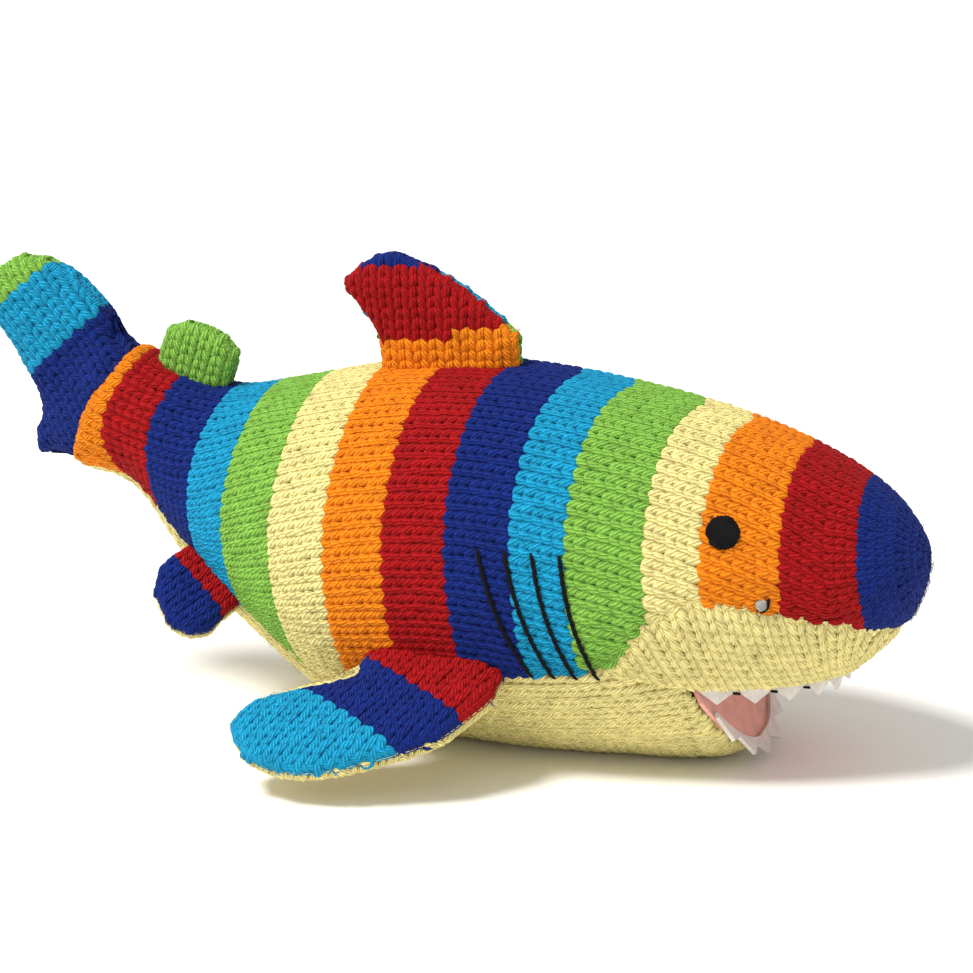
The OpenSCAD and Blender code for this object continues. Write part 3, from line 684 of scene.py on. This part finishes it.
def stitch_grid(wale_range, course_range):
    """The wale and course of every stitch in these ranges, as two long arrays."""
    w, c = np.meshgrid(np.arange(*wale_range), np.arange(*course_range), indexing="ij")
    return w.ravel() * 1.0, c.ravel() * 1.0


# ---- Materials ----
def linear(text):
    """An sRGB hex value as linear colour."""
    rgb = np.array([int(text[i:i + 2], 16) / 255 for i in (0, 2, 4)])
    rgb = np.where(rgb <= 0.04045, rgb / 12.92, ((rgb + 0.055) / 1.055) ** 2.4)
    return (*rgb.tolist(), 1.0)


def add(tree, kind, links=None, **settings):
    """Adds a node, sets its inputs and properties by name, and links its inputs."""
    node = tree.nodes.new(kind)
    for key, value in settings.items():
        label = key.replace("_", " ")
        socket = next((s for s in node.inputs if s.name.lower() == label and s.enabled), None)
        if socket is not None and not hasattr(node, key):
            socket.default_value = value
        else:
            setattr(node, key, value)
    for place, source in (links or {}).items():
        tree.links.new(source, node.inputs[place])
    return node


def new_material(name, specular, **shader):
    """A material of one Principled shader, with a level for the light that it reflects."""
    material = bpy.data.materials.new(name)
    material.use_nodes = True
    tree = material.node_tree
    tree.nodes.clear()
    bsdf = add(tree, "ShaderNodeBsdfPrincipled", **shader)
    bsdf.inputs["Specular IOR Level"].default_value = specular
    output = add(tree, "ShaderNodeOutputMaterial", {"Surface": bsdf.outputs["BSDF"]})
    output.is_active_output = True
    return material, tree, bsdf


def noise(tree, width, **settings):
    """Noise through the object, in patches about this many metres wide."""
    place = add(tree, "ShaderNodeTexCoord")
    return add(tree, "ShaderNodeTexNoise", {"Vector": place.outputs["Object"]},
               scale=1 / width, **settings).outputs["Fac"]


PLY_PITCH = 1.25  # millimetres from ply to ply, square to the plies
TWIST_PITCH = 0.6  # millimetres from twist to twist of embroidery thread
PLY_TURN = 60  # degrees; the plies run at 90 less this to the yarn


def plies(tree, pitch, **settings):
    """Slanting plies along the yarn, a pitch apart in millimetres. Returns them and the
    yarn's coordinates turned to run along them."""
    uv = add(tree, "ShaderNodeUVMap", uv_map="yarn")
    turned = add(tree, "ShaderNodeMapping", {"Vector": uv.outputs["UV"]},
                 rotation=(0, 0, math.radians(PLY_TURN))).outputs["Vector"]
    wave = add(tree, "ShaderNodeTexWave", {"Vector": turned},
               scale=2 * math.pi / (20 * pitch), **settings)
    return wave, turned


def combined(tree, operation, a, b):
    """A sum or product of two values."""
    return add(tree, "ShaderNodeMath", {0: a, 1: b}, operation=operation).outputs["Value"]


def ramp(tree, value, first, last, *middle):
    """Colours from a value. Each stop is a place from 0 to 1 and a colour."""
    node = add(tree, "ShaderNodeValToRGB", {"Fac": value})
    stops = node.color_ramp.elements
    for stop, (place, colour) in zip(stops, (first, last)):
        stop.position, stop.color = place, tuple(colour)
    for place, colour in middle:
        stops.new(place).color = tuple(colour)
    return node.outputs["Color"]


def surface(tree, bsdf, colour, height, strength, distance):
    """Gives a shader its colour and its bumps, which are a distance deep."""
    tree.links.new(colour, bsdf.inputs["Base Color"])
    bump = add(tree, "ShaderNodeBump", {"Height": height}, strength=strength, distance=distance)
    tree.links.new(bump.outputs["Normal"], bsdf.inputs["Normal"])


def acrylic_yarn(name, colour):
    """Spun acrylic yarn of three plies: soft and matt, with slanting plies, painted shade between
    the plies and between the fibres, a painted highlight on the plies' crests and on fibres that
    stand out, and a colour that drifts along the thread."""
    material, tree, bsdf = new_material(name, 0.15, roughness=0.8, sheen_weight=0.05,
                                        sheen_roughness=0.4)
    base = np.array(linear(colour))
    bsdf.inputs["Sheen Tint"].default_value = tuple(mix(base, 1, 0.35))
    wave, turned = plies(tree, PLY_PITCH, distortion=2.5, detail=2.0, detail_scale=1.2)
    # Fibres: about 0.5 mm across and 2 mm long, along the plies
    stretched = add(tree, "ShaderNodeMapping", {"Vector": turned}, scale=(2.0, 0.5, 1))
    fibres = add(tree, "ShaderNodeTexNoise", {"Vector": stretched.outputs["Vector"]},
                 scale=1.0, detail=4.0, roughness=0.65).outputs["Fac"]
    # Painted shade deep between the fibres, the yarn's own colour on them, and a painted
    # highlight where one stands out
    pale = np.minimum(base * [1.7, 1.7, 1.7, 1] + [0.014, 0.014, 0.014, 0], 1)
    strand_light_and_shade = ramp(tree, fibres, (0.32, base * [0.42, 0.42, 0.46, 1]), (0.70, pale), (0.5, base))
    # Painted shade in the grooves between the plies and a painted highlight on their crests
    shade = add(tree, "ShaderNodeMapRange", {"Value": wave.outputs["Fac"]}, to_min=0.72,
                to_max=1.12)
    drift = add(tree, "ShaderNodeMapRange", {"Value": noise(tree, 5 * MM, detail=3.0)},
                from_min=0.3, from_max=0.7, to_min=0.86, to_max=1.12)
    # The painted ply shading times the drift of the yarn's colour
    tone = combined(tree, "MULTIPLY", shade.outputs["Result"], drift.outputs["Result"])
    yarn_colour_with_painted_light = add(tree, "ShaderNodeVectorMath", {0: strand_light_and_shade, "Scale": tone}, operation="SCALE")
    height = combined(tree, "ADD", wave.outputs["Fac"], fibres)
    surface(tree, bsdf, yarn_colour_with_painted_light.outputs["Vector"], height, 0.9, 0.4 * MM)
    return material


def pressed_felt(name, colour):
    """Pressed wool-mix felt: flat and matt, with matted fibres and a faint nap."""
    material, tree, bsdf = new_material(name, 0.2, roughness=0.9, sheen_weight=0.4,
                                        sheen_roughness=0.5)
    base = np.array(linear(colour))
    nap = noise(tree, 1.1 * MM, detail=4.0, roughness=0.75, distortion=1.5)
    mottled = combined(tree, "MULTIPLY", nap, noise(tree, 6 * MM, detail=2.0))
    colours = ramp(tree, mottled, (0.1, base * [0.7, 0.66, 0.66, 1]), (0.42, base))
    surface(tree, bsdf, colours, nap, 0.5, 0.25 * MM)
    return material


def embroidery_thread(name, colour, shine):
    """Stranded embroidery thread: slightly glossy, with fine twist lines along each strand,
    painted shade in their grooves, a painted highlight on the twists, and a colour that drifts."""
    material, tree, bsdf = new_material(name, shine, roughness=0.6, sheen_weight=0.02)
    base = np.array(linear(colour))
    twist, _ = plies(tree, TWIST_PITCH, distortion=1.0)
    strand_light_and_shade = combined(tree, "MULTIPLY", twist.outputs["Fac"], noise(tree, 0.8 * MM, detail=3.0))
    # Painted highlight on the twists and painted shade in their grooves, from the same pattern as
    # the bumps
    pale = np.minimum(base * [1.4, 1.4, 1.4, 1] + [0.003, 0.003, 0.003, 0], 1)
    colours = ramp(tree, strand_light_and_shade, (0, base * [0.5, 0.5, 0.5, 1]), (0.6, pale))
    surface(tree, bsdf, colours, strand_light_and_shade, 0.5, 0.2 * MM)
    return material


YARN_MATERIALS = {
    yarn: acrylic_yarn("acrylic_yarn_" + yarn, colour) for yarn, colour in YARNS.items()
}
WHITE_FELT = pressed_felt("pressed_felt_white", "eee8de")
PINK_FELT = pressed_felt("pressed_felt_pink", "f2ae9c")
BLACK_THREAD = embroidery_thread("embroidery_thread_black", "080506", 0.12)
GREY_THREAD = embroidery_thread("embroidery_thread_grey", "a5a29c", 0.6)
WADDING = pressed_felt("polyester_wadding", "f2f1ec")


# ---- The body's knitted panels ----
def strip_lining(cloth, courses, widest):
    """The closed cloth behind some courses, from seam to seam, as one grid."""
    fine = np.arange(-widest, widest + 0.01, 0.1)
    w, c = np.meshgrid(fine, courses, indexing="ij")
    inside = cloth(w, c)[2]
    low = fine[inside.argmax(0)] + 0.1
    high = fine[len(fine) - 1 - inside[::-1].argmax(0)] - 0.1
    across = mix(low, high, np.linspace(0, 1, 2 * widest)[:, None])
    point, normal, _ = cloth(across, courses + 0 * across)
    return sheet_grid(point - normal * LINING, normal)


def place_piece(piece, body, nodes, crossing=None):
    """Rides a piece on a body, or, given a crossing, bakes its place into it and leaves it on no
    body. Hides the nodes that it replaces.
    """
    if crossing is None:
        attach(piece, body)
    else:
        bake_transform(piece)
    if nodes:
        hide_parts(*nodes)


def nose_spread(course):
    """How many wales one stitch spans: 1 on the body, more where the nose narrows."""
    share = back_place(np.zeros_like(course), BODY_COURSES - course)[0]
    room = girth_at(share) / girth_at(GATHER_SHARE)
    return np.select([share > GATHER_SHARE, room > 0.6, room > 0.3], [1.0, 1.0, 2.0], 4.0)


def back_panel():
    """The striped panel, one piece for each stripe of yarn. Each stitch opens forwards."""
    stop = BODY_COURSES
    for k, count in enumerate(STRIPE_COURSES):
        yarn = STRIPES[k % len(STRIPES)]
        start = stop - count
        first = -4 if start == 0 else start
        w, c = stitch_grid((-40, 41), (first, stop))
        spread = nose_spread(c)
        keep = w % spread == 0
        yarn_parts = stitches(back_cloth, w[keep], c[keep], spread[keep], k)
        rows = np.arange(first, stop + 0.1, 0.5)
        piece = mesh_piece(f"back_stripe_{k + 1:02d}_{yarn}",
                           [*yarn_parts, strip_lining(back_cloth, rows, 40)], YARN_MATERIALS[yarn])
        place_piece(piece, "body", ["back_panel"])
        stop = start


def cream_panel(name, cloth, stitch_ranges, seed, lining, body, node, crossing=None):
    """A panel of cream knit: its stitches and the closed cloth behind them."""
    w, c = stitch_grid(*stitch_ranges)
    parts = [*stitches(cloth, w, c, np.ones(len(w)), seed), lining]
    piece = mesh_piece(name, parts, YARN_MATERIALS[CREAM])
    place_piece(piece, body, [node], crossing)


def belly_panel():
    """The belly in two pieces; the rear one rides on the body and the front one is baked in place.
    """
    middle, last = 46, int(BELLY_COURSES)
    jaw_line = [(JAW_PIVOT[0] - 40 * MM, 0, 0), (JAW_PIVOT[0] - 1 * MM, 0, 0)]
    for name, start, stop, body, crossing in [
            ("rear", -2, middle, "body", None),
            ("front", middle, last + 1, "lower_jaw", jaw_line)]:
        rows = np.append(np.arange(start, stop - 0.4, 0.5), min(stop, BELLY_COURSES))
        cream_panel("belly_knit_" + name, belly_cloth, ((-20, 21), (start, stop)), 40 + start,
                    strip_lining(belly_cloth, rows, 20), body, "belly_panel", crossing)


def chin():
    """The knit under the lower jaw."""
    angle = np.linspace(-180 - CORNER_ANGLE + 1, CORNER_ANGLE - 1, 61)[:, None]
    point, normal = jaw_skin(angle, np.linspace(0, 1, 9)[None])
    cream_panel("chin_knit", chin_cloth, ((-14, 15), (0, 6)), 90,
                sheet_grid(point - normal * LINING, normal), "lower_jaw", "lower_jaw_panel")


def muzzle():
    """The knit round the snout, its courses level with the lip."""
    u, v = np.meshgrid(np.linspace(0.004, 0.996, 121), np.linspace(0, 1, 13), indexing="ij")
    point, normal = muzzle_skin(u, v)
    cream_panel("muzzle_knit", muzzle_cloth, ((-26, 27), (0, 16)), 91,
                sheet_grid(point - normal * LINING, normal), "body", "muzzle_panel")


back_panel()
belly_panel()
chin()
muzzle()


# ---- Fins in knit ----
def rim_legs(shape, side, seed):
    """Centres and directions of the legs that close a fin's seam. They slant in from the
    edge at even steps along it."""
    rng = np.random.default_rng(seed)
    edge = shape["edge"]
    run = lengths_along(edge)
    starts = np.arange(0.3 * COURSE, run[-1] - COURSE, 0.66 * COURSE)
    starts = starts + rng.normal(0, 0.05 * COURSE, len(starts))
    f = np.linspace(0, 1, len(LEG_ALONG))
    along = starts[:, None] + f * 1.15 * COURSE
    rim = between(along, run, edge)
    inward = unit(between(along + 1 * MM, run, edge) - rim)[..., ::-1] * np.array([-1, 1])
    p = rim + inward * (0.1 + 2.8 * f)[:, None] * MM
    point, normal = fin_skin(shape, side, p)
    depth = SINK + YARN * (0.1 + LEG_DEPTH[::-1] * 0.6)
    return tubes(point - normal * depth[:, None], normal, YARN * LEG_RADIUS * 0.85), p[:, 2] / MM


def fin_knit(name, shape, side, colours, colour_at, body, node, left=False):
    """One side of a fin, one piece for each colour of yarn. colour_at gives the colour's
    number at a place in the fin's plane, in millimetres."""
    cloth = fin_cloth(shape, side)
    reach = int(np.abs(shape["edge"]).max() / COURSE) + 6
    w, c = stitch_grid((-reach, reach + 1), (-reach, reach + 1))
    stitch_colour = colour_at(*(fin_place(shape, w, c + 0.5).T / MM))
    # The closed cloth: straight from a point of the root to a point of the edge
    edge = shape["edge"]
    f = np.linspace(0, 1, 15)
    rows = np.linspace(0, len(edge) - 1, 90)
    rim = between(rows, np.arange(len(edge)), edge)
    foot = mix(edge[0], edge[-1], np.linspace(0, 1, 90)[:, None])
    p = mix(foot[:, None], rim[:, None], (f**0.7)[None, :, None])
    point, normal = fin_skin(shape, side, p)
    points, quads, tris, quad_uv, tri_uv = sheet_grid(point - normal * LINING, normal)
    at = p.reshape(-1, 2)[quads].mean(1) / MM
    cell_colour = colour_at(at[:, 0], at[:, 1])
    start = shape["middle"] - shape["out"] * (shape["root"] + 0.6 * MM)
    end = shape["middle"] + shape["out"] * 2 * MM
    flip = np.array([1, -1, 1]) if left else np.ones(3)
    rim_tubes, rim_places = rim_legs(shape, side, len(name))
    rim_colour = colour_at(rim_places[:, 0], rim_places[:, 1])
    for k, yarn in enumerate(colours):
        keep = stitch_colour == k
        cells = cell_colour == k
        parts = [
            *stitches(cloth, w[keep], c[keep], np.ones(keep.sum()), len(name) * 7 + k),
            some_tubes(rim_tubes, rim_colour == k),
            (points, quads[cells], tris, quad_uv[cells], tri_uv),
        ]
        piece = mesh_piece(f"{name}_{yarn}", parts, YARN_MATERIALS[yarn], left)
        crossing = (tuple(start * flip), tuple(end * flip))
        place_piece(piece, body, [node], crossing)


def wadding(shape, name, left=False):
    """The stuffing of a fin: both sides' surfaces, drawn in under the knit, as one ring of
    columns from the root round the edge and back to the root."""
    shape = {**shape, "flare": 0}
    edge = shape["edge"]
    rows = np.linspace(0.02, len(edge) - 1.02, 60)
    rim = between(rows, np.arange(len(edge)), edge)
    start = 2 * MM
    foot = np.stack([mix(edge[1, 0], edge[-2, 0], np.linspace(0.02, 0.98, 60)),
                     np.full(60, start)], -1)
    rim[:, 1] = np.maximum(rim[:, 1], start)
    f = np.linspace(0, 1, 9) ** 0.7
    p = mix(foot[:, None], rim[:, None], f[None, :, None])
    rings = []
    for side in (1, -1):
        point, normal = fin_skin(shape, side, p)
        point = point - normal * (LINING + 1.8 * MM)
        off = (point - shape["middle"]) @ shape["normal"]
        point = point - (np.minimum(off * side, 0) * side)[..., None] * shape["normal"]
        rings.append(point)
    loop = np.concatenate([rings[0], rings[1][:, -2::-1], rings[0][:, :1]], 1)
    out = loop - loop.mean((0, 1))
    return mesh_piece(name + "_wadding", [sheet_grid(loop, out)], WADDING, left)


def bands(direction, *limits):
    """A colour number that rises by one as a place passes each limit along a direction."""
    def colour_at(x, y):
        along = direction[0] * x + direction[1] * y
        return sum((along > limit).astype(int) for limit in limits) + np.zeros(len(along), int)
    return colour_at


def hanging(droop):
    """The outward direction of a right fin that hangs by an angle below level."""
    return 0, -math.cos(math.radians(droop)), -math.sin(math.radians(droop))


DORSAL = fin("dorsal_lean", (0, 0, 1), DORSAL_OUTLINE, chord=51 * MM, span=30 * MM,
             root=8 * MM, full=8.5 * MM, rise=15 * MM, seam=2.0 * MM)
REAR_DORSAL = fin("rear_dorsal_lean", (0, 0, 1), REAR_DORSAL_OUTLINE, chord=30 * MM,
                  span=12 * MM, root=6 * MM, full=6 * MM, rise=8 * MM)
PECTORAL = fin("pectoral_right_flap", hanging(32), PECTORAL_OUTLINE, chord=50 * MM,
               span=43 * MM, root=7.5 * MM, full=7.5 * MM, rise=13 * MM, lean=25.5,
               seam=-1.6 * MM)
PELVIC = fin("pelvic_right_flap", hanging(40), PELVIC_OUTLINE, chord=31 * MM, span=17 * MM,
             root=6 * MM, full=6 * MM, rise=9 * MM, seam=-1.2 * MM)
TAIL = fin("tail_swing", (-1, 0, 0), TAIL_OUTLINE, chord=51 * MM, span=55 * MM, root=9 * MM,
           full=9 * MM, rise=13 * MM, lean=-20.2, flare=0.8, pinch=0.86)

fin_knit("dorsal_knit_right", DORSAL, 1, [ORANGE, RED, NAVY],
         lambda x, y: (y > 1.6 + 0.144 * x).astype(int) + (y > 24.5), "dorsal_fin",
         "dorsal_right_panel")
fin_knit("dorsal_knit_left", DORSAL, -1, [GREEN, BLUE, NAVY], bands((0, 1), 5, 22),
         "dorsal_fin", "dorsal_left_panel")
for side, side_name in [(1, "right"), (-1, "left")]:
    fin_knit("rear_dorsal_knit_" + side_name, REAR_DORSAL, side, [GREEN], bands((0, 1)),
             "rear_dorsal_fin", f"rear_dorsal_{side_name}_panel")
    fin_knit("tail_knit_" + side_name, TAIL, side, [NAVY, BLUE, GREEN],
             bands((0.345, 0.939), 18.5, 43), "tail_fin", f"tail_{side_name}_panel")
    left = side < 0
    for fin_name, shape, colours, colour_at in [
            ("pectoral_", PECTORAL, [RED, NAVY, BLUE], bands((-0.43, 0.9), 3, 26)),
            ("pelvic_", PELVIC, [RED, NAVY], bands((0, 1), 0))]:
        body = fin_name + side_name
        fin_knit(body + "_top", shape, -1, colours, colour_at, body, body + "_top", left)
        fin_knit(body + "_under", shape, 1, [CREAM], bands((0, 1)), body, body + "_bottom", left)

for name, shape, body in [
        ("dorsal", DORSAL, "dorsal_fin"), ("rear_dorsal", REAR_DORSAL, "rear_dorsal_fin"),
        ("tail", TAIL, "tail_fin"), ("pectoral_right", PECTORAL, "pectoral_right"),
        ("pectoral_left", PECTORAL, "pectoral_left"), ("pelvic_right", PELVIC, "pelvic_right"),
        ("pelvic_left", PELVIC, "pelvic_left")]:
    piece = wadding(shape, name, name.endswith("left"))
    place_piece(piece, body, [name + "_filling"])


# ---- Embroidery and felt ----
THREAD = 0.42 * MM  # radius of the thread in the eye and the nostril
HEAD_RADIUS = 45 * MM  # of the curve that the head follows under the embroidery
EYE, NOSTRIL = (0.205, 26), (0.16, -2.5)  # share of the length and angle
GILL_SHARE = 0.397  # share of the length in the middle of the four gill lines
GILL_ANGLES = (-23.5, 14)  # their lower and upper ends
GILL_SPACING = 9 * MM


def skin_frame(share, angle):
    """A place on the body with its forward, upward and outward directions."""
    point, normal = (v[0] for v in body_point(np.array([share]), np.array([angle])))
    forward = unit(skin(np.array(share - 0.005), angle) - skin(np.array(share + 0.005), angle))
    up = np.cross(normal, forward)
    return point, forward, up * np.sign(up[2]), normal


def thread_patch(name, place, lines, height, radius, material, left, nodes):
    """Straight stitches on the body, each from one point of a list to the next, in
    millimetres forward and up. They arch over the skin by a height."""
    point, forward, up, normal = skin_frame(*place)
    ends = np.array(lines)
    f = np.linspace(0, 1, 8)
    flat = mix(ends[:, None, 0], ends[:, None, 1], f[None, :, None]) * MM
    sag = (flat**2).sum(-1) / (2 * HEAD_RADIUS)
    arch = height * np.sqrt(np.sin(np.pi * np.clip(f, 0.02, 0.98))) - 0.35 * MM - sag
    centres = (point + flat[..., :1] * forward + flat[..., 1:] * up + arch[..., None] * normal)
    normals = np.broadcast_to(normal, centres.shape)
    parts = tubes(centres, normals, radius * np.array([0.7, 1, 1, 1, 1, 1, 1, 0.7]), 0.9)
    piece = mesh_piece(name, [parts], material, left)
    place_piece(piece, "body", nodes)


def disc_lines(radius, step, turn, seed):
    """Parallel lines across a disc, in millimetres, with slightly uneven ends."""
    rng = np.random.default_rng(seed)
    offsets = np.arange(-radius + step / 2, radius, step)
    half = np.sqrt(radius**2 - offsets**2) + rng.uniform(-0.15, 0.35, len(offsets))
    turn = math.radians(turn)
    run = np.array([math.cos(turn), math.sin(turn)])
    rise = np.array([-math.sin(turn), math.cos(turn)])
    middles = offsets[:, None] * rise
    return np.stack([middles - half[:, None] * run, middles + half[:, None] * run], 1)


def gills(left, side_name):
    """Four lines of stem stitch on the flank, each leaning forward as it goes down."""
    count, f = 15, np.linspace(0, 1, 7)
    row, j = np.meshgrid(np.arange(4) - 1.5, np.arange(count), indexing="ij")
    row, j = row.reshape(-1, 1), j.reshape(-1, 1)
    along = (j - 0.1 + 1.5 * f) / (count + 0.4)
    across = (f - 0.5) * 1.1 * MM * np.where(j % 2, 1, 0.6)
    share = (GILL_SHARE + row * (1 - 0.2 * (1 - along)) * GILL_SPACING / LENGTH
             + 0.05 * (along - 0.5) + 0.006 * np.sin(np.pi * along) + across / LENGTH)
    point, normal = body_point(share, mix(*GILL_ANGLES, along))
    lift = 0.95 * MM * np.sqrt(np.sin(np.pi * np.clip(f, 0.02, 0.98))) - 0.15 * MM
    parts = tubes(point + normal * lift[:, None], normal,
                  0.62 * MM * np.array([0.6, 0.9, 1, 1, 1, 0.9, 0.6]), 0.85)
    name = "gill_stitches_" + side_name
    piece = mesh_piece(name, [parts], BLACK_THREAD, left)
    place_piece(piece, "body", [name])


EDGE_LINES = [((-1.6, -1.9), (2.0, 1.2)), ((1.4, -2.0), (2.6, 1.6)), ((-0.6, -2.4), (1.6, -1.5))]
# Name, place, lines, height over the skin, thread radius, material, and the node it replaces
PATCHES = [
    ("eye_threads_", EYE, disc_lines(5.3, 0.7, 62, 5), 1.75 * MM, THREAD * 1.15,
     BLACK_THREAD, None),
    ("eye_under_", EYE, disc_lines(5.1, 0.75, -20, 6), 1.4 * MM, THREAD * 1.15,
     BLACK_THREAD, None),
    ("nostril_threads_", NOSTRIL, disc_lines(1.7, 0.72, -38, 7), 1.5 * MM, THREAD * 1.1,
     GREY_THREAD, "nostril_"),
    ("nostril_edge_", NOSTRIL, EDGE_LINES, 1.1 * MM, THREAD, BLACK_THREAD, None),
]
for side_name, left in [("right", False), ("left", True)]:
    for name, place, lines, height, radius, thread, node in PATCHES:
        thread_patch(name + side_name, place, lines, height, radius, thread, left,
                     [node + side_name] if node else [])
    gills(left, side_name)

FELTS = {"upper_mouth_lining": PINK_FELT, "lower_mouth_lining": PINK_FELT,
         "upper_teeth": WHITE_FELT, "lower_teeth": WHITE_FELT, "tooth_tacks": BLACK_THREAD,
         "eye_right": BLACK_THREAD, "eye_left": BLACK_THREAD}
for name, node in frame["nodes"].items():
    node.data.materials.clear()
    node.data.materials.append(FELTS.get(name, WADDING))


# ---- Stage ----
def stage():
    """A pale floor that runs up to white surroundings."""
    size = 3.0
    mesh = bpy.data.meshes.new("floor")
    corners = [(-size, -size, 0), (size, -size, 0), (size, size, 0), (-size, size, 0)]
    mesh.from_pydata(corners, [], [(0, 1, 2, 3)])
    floor = placed("floor", mesh)
    material, _, bsdf = new_material("matt_white_paper", 0.5, roughness=0.9)
    bsdf.inputs["Base Color"].default_value = linear("fbfaf8")
    mesh.materials.append(material)
    world = bpy.data.worlds.new("studio")
    world.use_nodes = True
    tree = world.node_tree
    back = tree.nodes["Background"]
    back.inputs["Color"].default_value = (1, 1, 1, 1)
    # White where the camera sees it, and dimmer as a light so that the sun models the toy
    path = add(tree, "ShaderNodeLightPath")
    level = add(tree, "ShaderNodeMapRange", {"Value": path.outputs["Is Camera Ray"]},
                to_min=0.62, to_max=1.05)
    tree.links.new(level.outputs["Result"], back.inputs["Strength"])
    bpy.context.scene.world = world


def facing(place, back):
    """The position of a camera or light at a place, its back turned in this direction."""
    right = unit(np.cross((0, 0, 1), back))
    turn = np.eye(4)
    turn[:3, :] = np.stack([right, np.cross(back, right), back, place], 1)
    return Matrix(turn.tolist())


def sun(name, back, size, power, colour):
    """A far soft light from a direction; size is how wide it looks, in degrees."""
    light = bpy.data.lights.new(name, "SUN")
    light.angle = math.radians(size)
    light.energy = power
    light.color = colour
    placed(name, light).matrix_world = facing(np.zeros(3), unit(np.array(back, float)))


def camera():
    """A long lens at the height and angle of a table-top view of the right side."""
    azimuth, elevation, distance = math.radians(18), math.radians(16), 0.9
    target = np.array([13.3 * MM, 0, 62 * MM])
    back = np.array([
        math.sin(azimuth) * math.cos(elevation), -math.cos(azimuth) * math.cos(elevation),
        math.sin(elevation),
    ])
    lens = bpy.data.cameras.new("camera")
    lens.sensor_width = 36
    lens.lens = 95.8
    lens.shift_x, lens.shift_y = 0.017, 0.0683
    holder = placed("camera", lens)
    holder.matrix_world = facing(target + back * distance, back)
    bpy.context.scene.camera = holder


stage()
camera()
sun("key", (-0.42, -0.38, 1.0), 18, 3.5, (1, 0.985, 0.96))
bpy.context.scene.view_settings.view_transform = "Standard"
